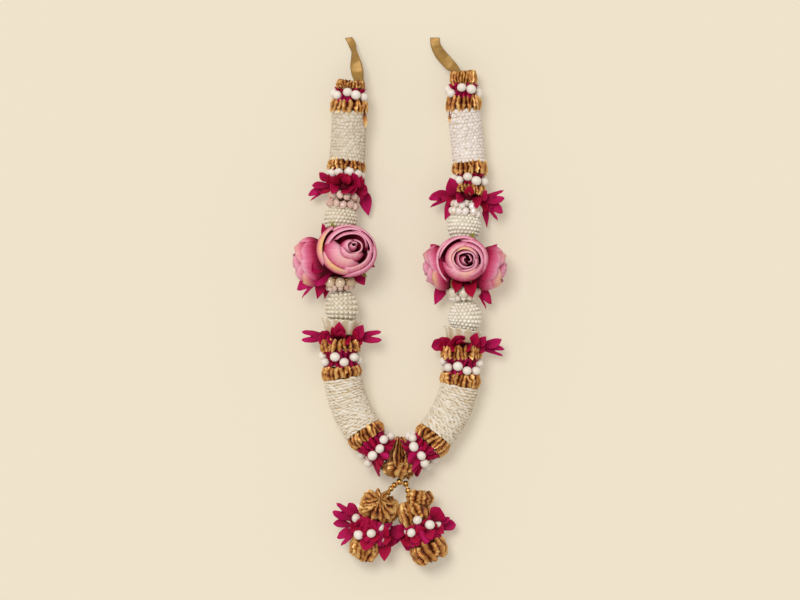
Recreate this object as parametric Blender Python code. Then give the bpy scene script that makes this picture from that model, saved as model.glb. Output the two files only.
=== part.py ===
"""Model a rose garland whose two threaded strands join above a pair of hanging pompons.

The garland lies on its back on a flat surface. Its length runs along Y with the ribbon
ties at +Y, its width runs along X, and +Z points up, away from the surface. The origin is
on the surface under the middle of the garland.
"""

from __future__ import annotations

import itertools
import math
import random
from dataclasses import dataclass
from typing import Callable, Sequence

import bmesh
import bpy
from mathutils import Vector

MM = 0.001
SEED = 27
RANDOM = random.Random(SEED)

# Clearance between touching pieces, and the height that loose petals keep over the surface
GAP = 0.3 * MM
PETAL_LIFT = 0.2 * MM

# Core cord and the bore that it needs in every threaded piece
CORD_RADIUS = 1.5 * MM
BORE_RADIUS = 2.8 * MM
BORE_SIDES = 6
BORE_STEP = 16.0 * MM
CORD_POINTS = 46

# Distances within which the points that a Boolean leaves are welded, tried in turn
WELD_DISTANCES = (0.15 * MM, 0.02 * MM, 0.002 * MM, 0.0002 * MM)

# Sheet goods
PETAL_THICKNESS = 1.1 * MM
RIBBON_THICKNESS = 0.7 * MM

# White beads, and the thread that strings them
BEAD_RADIUS = 5.0 * MM
THREAD_RADIUS = 0.7 * MM
BEAD_SIDES = 5
BEAD_SEAT = 4.8 * MM

# Ruffles and frills
RUFFLE_PLEATS = 8
RUFFLE_FOLD_DEPTH = 3.4 * MM
FRILL_TIP = 2.8 * MM
HUB_RADIUS = 6.0 * MM
HUB_SIDES = 10
FRILL_BORE = (HUB_RADIUS + GAP) / math.cos(math.pi / BORE_SIDES) + 0.1 * MM

# Radii of the bands down each strand: gold ruffles, and the bead strings between them
CAP_RADIUS = 16.5 * MM
TOP_RUFFLE_RADIUS = 21.5 * MM
TOP_STRING_RADIUS = 17.2 * MM
B_RUFFLE_RADIUS = 21.5 * MM
B2_RUFFLE_RADIUS = 18.5 * MM
B_STRING_RADIUS = 16.4 * MM
C_RUFFLE_RADIUS = 23.4 * MM
C2_RUFFLE_RADIUS = 22.8 * MM
C_STRING_RADIUS = 19.5 * MM
D_RUFFLE_RADIUS = 22.4 * MM
D_STRING_RADIUS = 19.2 * MM
PETAL_HUB_RADIUS = 9.0 * MM
BAND_BEADS = 10

# Pompons, by shares of their length where the crown and the cloth end
POMPON_CROWN_START = 2.4 * MM
POMPON_CROWN_SHARE = 0.36
POMPON_CLOTH_SHARE = 0.70
POMPON_STRING_RADIUS = 18.0 * MM
POMPON_BEADS = 8

# Pearl balls, pearl rings, tubes and cups
PEARL_RADIUS = 5.4 * MM
PEARL_RING_RADIUS = 14.2 * MM
PEARL_RING_COUNT = 7
PEARL_NOTCH = 3.4 * MM
CRYSTAL_SIDES = 12
CRYSTAL_NOTCH = 3.2 * MM
CRYSTAL_SKIRT = 6.6 * MM
CRYSTAL_REACH = 21.0 * MM
CUP_RIM_RADIUS = 22.0 * MM
CUP_FOOT_RADIUS = 16.5 * MM
CUP_RIM_LIFT = 5.5 * MM
PEARL_BALL_SIDES = 14
PEARL_BALL_RINGS = 8
PEARL_RELIEF = 1.1 * MM
TUBE_SIDES = 13
TUBE_RINGS = 9
LOWER_TUBE_RADIUS = 21.3 * MM
BUD_RELIEF = 0.9 * MM
CUP_SIDES = 10
CUP_WALL = 1.2 * MM

# Roses
ROSE_PETAL_LAP = 1.2 * MM
BUD_SIDES = 7

# Facets of the plain bodies that cut clearance
ROOM_SIDES = 10
ROOM_BANDS = 6

# Angle above which neighbouring faces keep a sharp edge, in degrees
CREASE_ANGLE = 50.0


def mm(x: float, y: float, z: float) -> Vector:
    """Return a point given in millimetres as a vector in metres."""
    return Vector((x, y, z)) * MM


@dataclass(frozen=True)
class Finish:
    """Colour and surface of one kind of material."""

    colour: tuple[float, float, float]
    roughness: float
    metallic: float = 0.0


GOLD_TISSUE = Finish((0.48, 0.22, 0.05), 0.38, 0.6)
GOLD_RIBBON = Finish((0.62, 0.40, 0.10), 0.35, 0.6)
GOLD_BEAD = Finish((0.66, 0.42, 0.12), 0.25, 0.9)
MAGENTA_CLOTH = Finish((0.36, 0.004, 0.05), 0.8)
WHITE_BEAD = Finish((0.86, 0.82, 0.76), 0.4)
WHITE_BUDS = Finish((0.76, 0.70, 0.58), 0.8)
PEARL = Finish((0.82, 0.78, 0.66), 0.2)
CRYSTAL = Finish((0.80, 0.74, 0.66), 0.08)
ROSE_CLOTH = Finish((0.62, 0.18, 0.32), 0.75)
CORD_FIBRE = Finish((0.60, 0.55, 0.45), 0.9)


@dataclass(frozen=True)
class Petal:
    """A petal by its tip: offset from its hub in X and Y, height, and width, in millimetres."""

    dx: float
    dy: float
    height: float
    width: float
    forked: bool = False


@dataclass(frozen=True)
class Rose:
    """A rose by the share of its hub where it grows, its direction, size and sepals.

    The radius and depth are in millimetres, and the sepals are angles round the flower in
    degrees.
    """

    name: str
    along: float
    direction: tuple[float, float, float]
    radius: float
    depth: float
    sepals: tuple[float, ...] = ()


@dataclass(frozen=True)
class StrandPlan:
    """Everything that differs between the two strands.

    Lengths are in millimetres and the phases of the four bead strings are in degrees.
    """

    side: str
    route: tuple[tuple[float, float, float], ...]
    lengths: dict[str, float]
    upper_radius: float
    band_b_pair: bool
    bead_phases: tuple[float, float, float, float]
    whorl_b: tuple[Petal, ...]
    cluster: tuple[Petal, ...]
    whorl_c: tuple[Petal, ...]
    roses: tuple[Rose, ...]


LEFT = StrandPlan(
    side="left",
    route=(
        (-53.4, 240.4, 21.0),
        (-55.0, 208.5, 20.5),
        (-56.1, 175.5, 18.1),
        (-58.3, 144.7, 20.7),
        (-61.1, 115.0, 22.5),
        (-64.4, 88.0, 24.0),
        (-65.2, 50.0, 28.0),
        (-64.9, 17.0, 25.0),
        (-63.3, -10.5, 23.0),
        (-64.9, -39.0, 23.0),
        (-64.4, -66.6, 23.0),
        (-61.2, -93.5, 22.0),
        (-51.7, -122.7, 19.5),
        (-33.7, -152.4, 22.0),
        (-17.2, -168.8, 23.0),
        (0.0, -177.0, 23.0),
    ),
    lengths={
        "cap": 9.0,
        "top_frill": 13.2,
        "top_ruffle": 10.0,
        "upper_tube": 55.0,
        "b_ruffle": 8.5,
        "b_frill": 12.5,
        "b_petals": 11.0,
        "crystals": 12.0,
        "upper_ball": 38.0,
        "cluster": 43.0,
        "pearl_ring": 15.0,
        "lower_ball": 39.0,
        "cup": 10.5,
        "c_petals": 6.0,
        "c_ruffle": 10.0,
        "c_frill": 17.8,
        "c2_ruffle": 12.8,
        "lower_tube": 61.0,
        "d_ruffle": 13.5,
        "d_frill": 18.5,
    },
    upper_radius=19.8,
    band_b_pair=False,
    bead_phases=(20.0, -2.0, 12.0, 10.0),
    whorl_b=(
        Petal(-28.0, 14.0, 30.0, 8.0),
        Petal(-36.0, 0.0, 25.0, 7.0),
        Petal(-36.5, -13.0, 16.0, 9.0, True),
        Petal(-4.0, 12.0, 46.5, 14.0),
        Petal(15.0, 9.0, 44.0, 14.0),
        Petal(25.0, -7.0, 27.0, 11.0),
        Petal(26.0, -34.0, 10.0, 8.0),
        Petal(2.0, 6.0, 1.0, 11.0),
    ),
    cluster=(
        Petal(-19.5, 36.0, 16.0, 9.0),
        Petal(15.0, 34.0, 46.0, 8.0),
        Petal(-30.0, -22.0, 40.0, 13.0),
        Petal(-38.0, -37.0, 26.0, 12.0, True),
        Petal(-17.0, -47.0, 12.0, 9.0),
        Petal(38.0, -12.0, 25.0, 6.0),
        Petal(27.0, -32.0, 30.0, 13.0),
        Petal(25.0, 14.0, 9.0, 12.0),
        Petal(12.0, -6.0, 1.0, 14.0),
    ),
    whorl_c=(
        Petal(-39.5, 2.0, 24.0, 12.0, True),
        Petal(-9.0, 12.5, 48.0, 6.0),
        Petal(-1.0, 17.5, 49.5, 12.0),
        Petal(25.0, 14.0, 38.0, 12.0),
        Petal(42.0, 2.0, 25.0, 12.0, True),
        Petal(3.0, 7.0, 1.0, 11.0),
    ),
    roses=(
        Rose("rose_front", 0.52, (0.24, 0.10, 1.0), 29.0, 33.0, (140.0, 335.0)),
        Rose("rose_side", 0.60, (-1.0, -0.10, -0.02), 27.0, 46.0, (60.0, 300.0)),
    ),
)

RIGHT = StrandPlan(
    side="right",
    route=(
        (69.9, 250.3, 19.5),
        (70.4, 219.5, 20.0),
        (71.0, 201.9, 19.3),
        (74.8, 172.2, 16.9),
        (77.0, 142.5, 19.7),
        (76.5, 122.7, 21.0),
        (73.2, 101.8, 22.5),
        (71.0, 79.8, 24.0),
        (69.9, 42.4, 28.0),
        (70.2, 5.0, 25.0),
        (71.7, -21.5, 23.0),
        (68.2, -47.9, 23.0),
        (67.7, -75.4, 23.0),
        (64.9, -99.6, 22.0),
        (54.6, -127.0, 19.5),
        (34.4, -155.0, 22.0),
        (16.4, -169.3, 23.0),
        (0.0, -177.0, 23.0),
    ),
    lengths={
        "cap": 14.0,
        "top_frill": 14.0,
        "top_ruffle": 12.0,
        "upper_tube": 59.0,
        "b_ruffle": 12.0,
        "b_frill": 12.2,
        "b2_ruffle": 10.0,
        "b_petals": 6.5,
        "crystals": 9.5,
        "upper_ball": 38.0,
        "cluster": 46.0,
        "pearl_ring": 15.0,
        "lower_ball": 38.0,
        "cup": 9.0,
        "c_petals": 5.0,
        "c_ruffle": 11.5,
        "c_frill": 16.4,
        "c2_ruffle": 13.5,
        "lower_tube": 60.0,
        "d_ruffle": 13.5,
        "d_frill": 18.5,
    },
    upper_radius=18.6,
    band_b_pair=True,
    bead_phases=(-15.0, -6.0, -8.0, 6.0),
    whorl_b=(
        Petal(-20.0, 21.0, 38.0, 14.0),
        Petal(-39.0, -6.0, 24.0, 13.0, True),
        Petal(-25.0, -25.0, 17.0, 11.0),
        Petal(37.0, 3.0, 26.0, 12.0, True),
        Petal(33.0, -20.0, 22.0, 13.0, True),
        Petal(21.0, -33.0, 10.0, 7.0),
        Petal(-3.0, 6.0, 1.0, 11.0),
    ),
    cluster=(
        Petal(-36.0, 22.0, 28.0, 11.0),
        Petal(36.0, 17.0, 30.0, 13.0, True),
        Petal(-9.0, -31.0, 52.0, 11.0),
        Petal(10.0, -36.0, 51.0, 13.0),
        Petal(-31.0, -44.0, 18.0, 12.0),
        Petal(26.0, -44.0, 22.0, 11.0, True),
        Petal(-14.0, 10.0, 1.0, 13.0),
        Petal(14.0, -8.0, 1.0, 13.0),
    ),
    whorl_c=(
        Petal(-33.0, -2.0, 26.0, 12.0),
        Petal(-7.0, 10.0, 49.0, 19.0),
        Petal(17.0, 13.0, 45.0, 10.0),
        Petal(27.0, 9.0, 38.0, 9.0),
        Petal(44.0, 6.0, 26.0, 9.0),
        Petal(43.0, -8.0, 18.0, 10.0, True),
        Petal(-4.0, 6.0, 1.0, 11.0),
    ),
    roses=(
        Rose("rose_front", 0.36, (0.03, 0.02, 1.0), 26.0, 32.0, (20.0, 155.0, 205.0)),
        Rose("rose_inner", 0.50, (-1.0, -0.22, 0.0), 24.0, 38.0, (250.0,)),
        Rose("rose_outer", 0.50, (1.0, -0.22, 0.0), 24.0, 42.0, (110.0,)),
    ),
)


@dataclass(frozen=True)
class PomponPlan:
    """One hanging pompon, by the two ends of its axis and its petals.

    Lengths are in millimetres and the phase of the bead string is in degrees.
    """

    side: str
    top: tuple[float, float, float]
    foot: tuple[float, float, float]
    crown_radius: float
    foot_radius: float
    bead_phase: float
    petals: tuple[Petal, ...]
    string: tuple[tuple[float, float, float], ...]


POMPONS = (
    PomponPlan(
        side="left",
        top=(-18.0, -215.0, 30.0),
        foot=(-42.0, -282.5, 19.0),
        crown_radius=22.0,
        foot_radius=17.0,
        bead_phase=10.0,
        petals=(
            Petal(-25.0, 28.0, 34.0, 12.0),
            Petal(-38.0, 22.0, 30.0, 14.0, True),
            Petal(-42.0, 5.0, 22.0, 8.0),
            Petal(-34.0, -14.0, 24.0, 13.0, True),
            Petal(-8.0, -24.0, 42.0, 14.0),
            Petal(14.0, -36.0, 24.0, 12.0),
            Petal(26.0, -18.0, 18.0, 14.0),
            Petal(-3.0, -4.0, 1.0, 12.0),
        ),
        string=(
            (-5.6, -203.6, 25.0),
            (-9.4, -207.5, 25.5),
            (-12.8, -212.0, 27.5),
        ),
    ),
    PomponPlan(
        side="right",
        top=(10.0, -221.0, 22.0),
        foot=(36.5, -285.0, 19.0),
        crown_radius=19.0,
        foot_radius=21.0,
        bead_phase=-20.0,
        petals=(
            Petal(20.0, 27.0, 34.0, 18.0),
            Petal(31.0, 16.0, 27.0, 6.0),
            Petal(38.0, 8.0, 20.0, 11.0),
            Petal(-5.0, 12.0, 44.0, 13.0),
            Petal(-20.0, -6.0, 32.0, 15.0),
            Petal(-22.0, -22.0, 20.0, 13.0),
            Petal(9.0, 2.0, 1.0, 12.0),
        ),
        string=(
            (6.9, -202.1, 24.0),
            (9.6, -209.7, 23.5),
        ),
    ),
)

# Centre ruffle where the strands join: turned round a line along Y (distance down, radius)
CENTRE_TOP = mm(0.0, -156.5, 23.0)
CENTRE_FOOT = mm(0.0, -195.5, 23.0)
CENTRE_PROFILE = ((0.0, 5.5), (10.0, 12.0), (22.0, 18.5), (29.0, 20.0), (34.0, 15.5), (39.0, 7.0))
CENTRE_PLEATS = 8
HANGING_KNOT = mm(0.0, -199.8, 23.5)
GOLD_BEAD_RADIUS = 2.6 * MM
STRING_INSET = 5.0 * MM


class Strand:
    """A smooth route through chosen points, with a frame at each distance along it."""

    STEPS_PER_SPAN = 12

    def __init__(self, route: Sequence[Vector]) -> None:
        self.points = self._smooth(list(route))
        self.distances = [0.0]
        for first, second in zip(self.points, self.points[1:]):
            self.distances.append(self.distances[-1] + (second - first).length)

    @property
    def length(self) -> float:
        """Length of the whole route."""
        return self.distances[-1]

    def _smooth(self, route: list[Vector]) -> list[Vector]:
        """Return points on a curve that passes through every route point."""
        padded = [route[0] * 2 - route[1], *route, route[-1] * 2 - route[-2]]
        points = []
        for before, start, end, after in zip(padded, padded[1:], padded[2:], padded[3:]):
            for step in range(self.STEPS_PER_SPAN):
                u = step / self.STEPS_PER_SPAN
                points.append(
                    0.5
                    * (
                        2 * start
                        + (end - before) * u
                        + (2 * before - 5 * start + 4 * end - after) * u**2
                        + (3 * start - before - 3 * end + after) * u**3
                    )
                )
        points.append(route[-1].copy())
        return points

    def at(self, distance: float) -> Vector:
        """Return the point at a distance, on a straight line past either end."""
        index = 0
        while index < len(self.points) - 2 and self.distances[index + 1] < distance:
            index += 1
        start, end = self.points[index], self.points[index + 1]
        span = self.distances[index + 1] - self.distances[index]
        return start.lerp(end, (distance - self.distances[index]) / span)

    def frame(self, distance: float) -> tuple[Vector, Vector, Vector, Vector]:
        """Return the point, the way along, the way up and the way to the side."""
        reach = 3.0 * MM
        along = (self.at(distance + reach) - self.at(distance - reach)).normalized()
        up = (Vector((0, 0, 1)) - along * along.z).normalized()
        return self.at(distance), along, up, up.cross(along)

    def point(self, distance: float, angle: float, radius: float) -> Vector:
        """Return a point off the route, with the angle measured from straight up."""
        centre, _, up, side = self.frame(distance)
        return centre + (up * math.cos(angle) + side * math.sin(angle)) * radius


def clear_scene() -> None:
    """Remove every object that the file holds."""
    for item in list(bpy.data.objects):
        bpy.data.objects.remove(item, do_unlink=True)


def make_material(name: str, finish: Finish) -> bpy.types.Material:
    """Return a Principled material for one piece."""
    material = bpy.data.materials.new(name)
    material.use_nodes = True
    shader = material.node_tree.nodes["Principled BSDF"]
    shader.inputs["Base Color"].default_value = (*finish.colour, 1.0)
    shader.inputs["Roughness"].default_value = finish.roughness
    shader.inputs["Metallic"].default_value = finish.metallic
    return material


def stitch(bm: bmesh.types.BMesh, first: list, second: list) -> None:
    """Join two rings with triangles, also where their numbers of points differ."""
    i = 0
    j = 0
    while i < len(first) or j < len(second):
        ahead = j == len(second) or (
            i < len(first) and (i + 1) * len(second) <= (j + 1) * len(first)
        )
        start = first[i % len(first)]
        across = second[j % len(second)]
        if ahead:
            i += 1
            bm.faces.new((start, first[i % len(first)], across))
        else:
            j += 1
            bm.faces.new((start, second[j % len(second)], across))


def finish_body(bm: bmesh.types.BMesh) -> bpy.types.Mesh:
    """Turn an edited shape into a mesh of outward triangles."""
    bmesh.ops.triangulate(bm, faces=bm.faces)
    bmesh.ops.recalc_face_normals(bm, faces=bm.faces)
    mesh = bpy.data.meshes.new("body")
    bm.to_mesh(mesh)
    bm.free()
    return mesh


def ring_body(rings: Sequence[Sequence[Vector]], closed: bool) -> bpy.types.Mesh:
    """Skin rings of points into one body, closed on itself or with a fan at each end."""
    bm = bmesh.new()
    loops = [[bm.verts.new(point) for point in ring] for ring in rings]
    for first, second in zip(loops, loops[1:]):
        stitch(bm, first, second)
    if closed:
        stitch(bm, loops[-1], loops[0])
    else:
        bm.faces.new(loops[0])
        bm.faces.new(loops[-1])
    return finish_body(bm)


Profile = Sequence[tuple[float, float]]
Relief = Callable[[int, int], float]
Spans = dict[str, tuple[float, float]]


def sleeve(
    strand: Strand,
    outer: Profile,
    sides: int,
    relief: Relief | None = None,
    inner: Profile | None = None,
    inner_sides: int = BORE_SIDES,
) -> bpy.types.Mesh:
    """Turn a profile round the strand, with a bore for what runs through it.

    Args:
        strand: Route that the sleeve follows.
        outer: Distances along the strand with the outer radius at each.
        sides: Number of points round the outside.
        relief: Extra radius for a ring number and a side number.
        inner: Distances with the radius of the bore, or None for the plain bore.
        inner_sides: Number of points round the bore.

    Returns:
        A closed ring-shaped body that is flat where it meets the surface.
    """
    if inner is None:
        inner = even_profile(outer[0][0], outer[-1][0], BORE_RADIUS)
    rings = []
    for ring, (distance, radius) in enumerate(outer):
        points = []
        for side in range(sides):
            extra = relief(ring, side) if relief else 0.0
            point = strand.point(distance, math.tau * side / sides, radius + extra)
            point.z = max(point.z, 0.0)
            points.append(point)
        rings.append(points)
    for distance, radius in reversed(inner):
        turn = [math.tau * side / inner_sides for side in range(inner_sides)]
        rings.append([strand.point(distance, angle, radius) for angle in turn])
    return ring_body(rings, closed=True)


def even_profile(start: float, end: float, radius: float) -> list[tuple[float, float]]:
    """Return evenly spaced distances, close enough to follow a bend, with one radius."""
    count = max(1, round((end - start) / BORE_STEP))
    return [(start + (end - start) * step / count, radius) for step in range(count + 1)]


def bead_chain(
    centres: Sequence[Vector],
    radii: Sequence[float],
    thread: float,
    outward: Sequence[Vector],
    closed: bool,
    margin: float = 0.0,
) -> bpy.types.Mesh:
    """String faceted beads on a thread, as one body.

    Args:
        centres: Middle of each bead, in order.
        radii: Radius of each bead.
        thread: Radius of the thread.
        outward: A direction for each bead that isn't along the thread.
        closed: Whether the last bead is joined to the first.
        margin: Extra radius, for a body that cuts clearance.

    Returns:
        The beads with the thread between them.
    """
    shoulder = 0.5
    rings = []
    count = len(centres)
    for index, centre in enumerate(centres):
        after = centres[(index + 1) % count] if closed or index + 1 < count else None
        before = centres[index - 1] if closed or index else None
        way = ((after or centre) - (before or centre)).normalized()
        radius = radii[index] + margin
        if before is None:
            rings.append(round_ring(centre - way * radius, way, outward[index], thread + margin))
        for end in (-shoulder, shoulder):
            middle = centre + way * (end * radius)
            rings.append(round_ring(middle, way, outward[index], radius * 0.93))
        if after is None:
            rings.append(round_ring(centre + way * radius, way, outward[index], thread + margin))
            continue
        reach = (after - centre).length
        share = 0.5 * (1 + (radii[index] - radii[(index + 1) % count]) / reach)
        knot = centre.lerp(after, share)
        facing = outward[index] + outward[(index + 1) % count]
        rings.append(round_ring(knot, (after - centre).normalized(), facing, thread + margin))
    return ring_body(rings, closed)


def round_ring(centre: Vector, way: Vector, outward: Vector, radius: float) -> list[Vector]:
    """Return points round a thread, starting on its outward side, none below the surface."""
    up = (outward - way * outward.dot(way)).normalized()
    side = up.cross(way)
    points = []
    for index in range(BEAD_SIDES):
        angle = math.tau * index / BEAD_SIDES
        point = centre + (up * math.cos(angle) + side * math.sin(angle)) * radius
        point.z = max(point.z, 0.0)
        points.append(point)
    return points


def sheet(
    grid: Sequence[Sequence[Vector]], thickness: float, lift: float, sharp: bool
) -> bpy.types.Mesh:
    """Thicken a grid of points into a closed blade, with the same triangles on both faces.

    Args:
        grid: Rows of points, each with as many points as the first; a last row with one
            point makes a pointed tip.
        thickness: Thickness of the blade.
        lift: Height that its underside keeps over the surface.
        sharp: Whether both faces meet in a thin edge, or stand apart with a rim.

    Returns:
        One closed body.
    """
    floor = thickness / 2 + lift
    rows = [[Vector((p.x, p.y, max(p.z, floor))) for p in row] for row in grid]
    bm = bmesh.new()
    top = []
    bottom = []
    for index, row in enumerate(rows):
        top_row = []
        bottom_row = []
        for column, point in enumerate(row):
            on_edge = index in (0, len(rows) - 1) or column in (0, len(row) - 1)
            if sharp and on_edge:
                shared = bm.verts.new(point)
                top_row.append(shared)
                bottom_row.append(shared)
                continue
            offset = face_normal(rows, index, column) * (thickness / 2)
            top_row.append(bm.verts.new(point + offset))
            bottom_row.append(bm.verts.new(point - offset))
        top.append(top_row)
        bottom.append(bottom_row)
    skin_faces(bm, top, bottom)
    if not sharp:
        stitch_rim(bm, outline(top), outline(bottom))
    return finish_body(bm)


def face_normal(rows: Sequence[Sequence[Vector]], index: int, column: int) -> Vector:
    """Return the way that a blade faces at one point of its grid."""
    row = rows[index]
    before = rows[max(index - 1, 0)]
    after = rows[min(index + 1, len(rows) - 1)]
    across = row[min(column + 1, len(row) - 1)] - row[max(column - 1, 0)]
    way = after[min(column, len(after) - 1)] - before[min(column, len(before) - 1)]
    return across.cross(way).normalized()


def stitch_rim(bm: bmesh.types.BMesh, upper: list, lower: list) -> None:
    """Close the rim between the two faces of a blade."""
    for index in range(len(upper)):
        after = (index + 1) % len(upper)
        bm.faces.new((upper[index], upper[after], lower[after]))
        bm.faces.new((upper[index], lower[after], lower[index]))


def skin_faces(bm: bmesh.types.BMesh, top: list[list], bottom: list[list]) -> None:
    """Fill both faces of a blade with the same triangles, none with all its points on the edge."""
    for index in range(len(top) - 1):
        for column in range(len(top[index]) - 1):
            corner_free = top[index][column] is not bottom[index][column]
            for rows in (top, bottom):
                first = rows[index]
                second = rows[index + 1]
                if len(second) == 1:
                    bm.faces.new((first[column], first[column + 1], second[0]))
                    continue
                opposite_free = top[index + 1][column + 1] is not bottom[index + 1][column + 1]
                if corner_free or opposite_free:
                    bm.faces.new((first[column], first[column + 1], second[column + 1]))
                    bm.faces.new((first[column], second[column + 1], second[column]))
                else:
                    bm.faces.new((first[column], first[column + 1], second[column]))
                    bm.faces.new((first[column + 1], second[column + 1], second[column]))


def outline(rows: list[list]) -> list:
    """Return the points round the edge of a blade's face, in order."""
    right = [row[-1] for row in rows[1:]]
    end = list(reversed(rows[-1]))[1:]
    left = [row[0] for row in reversed(rows[1:-1])]
    return [*rows[0], *right, *end, *left]


def evaluated(owner: bpy.types.Object) -> bpy.types.Mesh:
    """Return a new mesh of an object with its modifiers applied."""
    graph = bpy.context.evaluated_depsgraph_get()
    return bpy.data.meshes.new_from_object(owner.evaluated_get(graph))


def place(name: str, mesh: bpy.types.Mesh) -> bpy.types.Object:
    """Add a mesh to the scene under a name."""
    item = bpy.data.objects.new(name, mesh)
    bpy.context.scene.collection.objects.link(item)
    return item


def combine(meshes: Sequence[bpy.types.Mesh], operation: str) -> bpy.types.Mesh:
    """Join meshes into the first of them, or cut them from it, with one Boolean.

    The exact solver comes first. The manifold solver takes over where that one leaves an
    open edge.

    Args:
        meshes: The mesh that is kept, then those that are joined or cut.
        operation: UNION or DIFFERENCE.

    Returns:
        The largest body that is left, without loose scraps or sealed hollows.
    """
    others = bpy.data.collections.new("others")
    bpy.context.scene.collection.children.link(others)
    for mesh in meshes[1:]:
        others.objects.link(bpy.data.objects.new("other", mesh))
    base = place("base", meshes[0])
    modifier = base.modifiers.new("combine", "BOOLEAN")
    modifier.operation = operation
    modifier.operand_type = "COLLECTION"
    modifier.collection = others
    for solver, weld in itertools.product(("EXACT", "MANIFOLD"), WELD_DISTANCES):
        modifier.solver = solver
        result, is_closed = main_body(evaluated(base), weld)
        if is_closed:
            break
    else:
        raise RuntimeError(f"open edges are left after {operation} of {len(meshes)} bodies")
    for item in [base, *others.objects]:
        bpy.data.objects.remove(item, do_unlink=True)
    bpy.data.collections.remove(others)
    return result


def main_body(mesh: bpy.types.Mesh, weld: float) -> tuple[bpy.types.Mesh, bool]:
    """Keep a mesh's largest shell, welded, and tell whether it is closed."""
    bm = bmesh.new()
    bm.from_mesh(mesh)
    bmesh.ops.remove_doubles(bm, verts=bm.verts, dist=weld)
    bmesh.ops.dissolve_degenerate(bm, edges=bm.edges, dist=weld)
    unseen = set(bm.faces)
    shells = []
    while unseen:
        front = [unseen.pop()]
        shell = set(front)
        while front:
            face = front.pop()
            linked = {other for edge in face.edges for other in edge.link_faces} & unseen
            unseen -= linked
            shell |= linked
            front.extend(linked)
        shells.append(shell)
    shells.sort(key=shell_area, reverse=True)
    scraps = [face for shell in shells[1:] for face in shell]
    bmesh.ops.delete(bm, geom=scraps, context="FACES")
    is_closed = all(len(edge.link_faces) == 2 for edge in bm.edges)
    return finish_body(bm), is_closed


def shell_area(shell: set) -> float:
    """Return the area of some faces."""
    return sum(face.calc_area() for face in shell)


def envelope(strand: Strand, start: float, end: float, radius: float) -> bpy.types.Mesh:
    """Return a plain drum round a threaded piece, to cut clearance with."""
    reach = (radius + GAP) / math.cos(math.pi / ROOM_SIDES)
    return turned_room(strand, [(start - GAP, reach), (end + GAP, reach)])


def ball_envelope(strand: Strand, start: float, end: float) -> bpy.types.Mesh:
    """Return a plain faceted ball round a pearl ball, to cut clearance with."""
    middle = (start + end) / 2
    radius = ((end - start) / 2 + GAP) / math.cos(math.pi / ROOM_SIDES)
    angles = [math.pi * band / ROOM_BANDS for band in range(1, ROOM_BANDS)]
    profile = [(middle - radius * math.cos(a), radius * math.sin(a)) for a in angles]
    return turned_room(strand, profile)


def turned_room(strand: Strand, profile: Profile) -> bpy.types.Mesh:
    """Turn a plain faceted body round a route, to cut clearance with."""
    turns = [math.tau * side / ROOM_SIDES for side in range(ROOM_SIDES)]
    rings = []
    for distance, radius in profile:
        rings.append([strand.point(distance, turn, radius) for turn in turns])
    return ring_body(rings, closed=False)


def add_node(name: str, mesh: bpy.types.Mesh, finish: Finish, smooth: bool = True) -> None:
    """Add a finished piece with its material."""
    item = place(name, mesh)
    mesh.name = name
    mesh.materials.append(make_material(name, finish))
    if smooth:
        mesh.shade_smooth()
        mesh.set_sharp_from_angle(angle=math.radians(CREASE_ANGLE))


def ruffle(
    strand: Strand,
    start: float,
    end: float,
    radius: float,
    more: tuple[float, float, float] | None = None,
) -> bpy.types.Mesh:
    """Fold a gathered ruffle round the strand: a sleeve whose outside is deep pleats.

    Args:
        strand: Route that the ruffle is threaded on.
        start: Distance where it starts.
        end: Distance where it ends.
        radius: Radius over its folds.
        more: Start, end and radius of a second ruffle, on a sleeve joined to the first.

    Returns:
        One closed body.
    """
    outer = ruffle_profile(start, end, radius)
    if more:
        outer += [(end, HUB_RADIUS), (more[0], HUB_RADIUS), *ruffle_profile(*more)]
    sides = RUFFLE_PLEATS * 2
    depths = [RANDOM.uniform(0.7, 1.2) * RUFFLE_FOLD_DEPTH for _ in range(sides)]

    def fold(ring: int, side: int) -> float:
        on_hub = outer[ring][1] == HUB_RADIUS
        return 0.0 if on_hub or side % 2 == 0 else -depths[side]

    last = outer[-1][0]
    return sleeve(strand, outer, sides, fold, even_profile(start, last, BORE_RADIUS))


def ruffle_profile(start: float, end: float, radius: float) -> list[tuple[float, float]]:
    """Return the distances and radii that a ruffle bulges over."""
    return [(start, radius * 0.86), (start + (end - start) * 0.45, radius), (end, radius * 0.84)]


def frill(
    strand: Strand, start: float, end: float, radius: float, beads: int, phase: float
) -> bpy.types.Mesh:
    """Make the cloth frill under a bead string, with a point beside each bead."""
    outer = [(start, radius), ((start + end) / 2, radius), (end, radius)]
    turn = math.radians(phase)

    def points(ring: int, side: int) -> float:
        beside_bead = (ring == 0 and side % 2) or (ring == 2 and side % 2 == 0)
        return FRILL_TIP if beside_bead else 0.0

    rings = []
    for ring, (distance, base) in enumerate(outer):
        row = []
        for side in range(beads):
            angle = turn + math.tau * side / beads
            point = strand.point(distance, angle, base + points(ring, side))
            point.z = max(point.z, 0.0)
            row.append(point)
        rings.append(row)
    for distance, _ in reversed(outer[::2]):
        angles = [turn + math.tau * side / BORE_SIDES for side in range(BORE_SIDES)]
        rings.append([strand.point(distance, angle, FRILL_BORE) for angle in angles])
    return ring_body(rings, closed=True)


def bead_ring(
    strand: Strand,
    start: float,
    end: float,
    radius: float,
    beads: int,
    phase: float,
    margin: float = 0.0,
) -> bpy.types.Mesh:
    """String beads in a zigzag round the strand, between two distances along it."""
    middle = (start + end) / 2
    sway = (end - start) / 2 - BEAD_RADIUS - GAP
    centres = []
    outward = []
    for index in range(beads):
        angle = math.radians(phase) + math.tau * index / beads
        distance = middle + (sway if index % 2 else -sway)
        centre = strand.point(distance, angle, radius)
        centres.append(centre)
        outward.append(centre - strand.at(distance))
    radii = [BEAD_RADIUS] * beads
    return bead_chain(centres, radii, THREAD_RADIUS, outward, True, margin)


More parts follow.
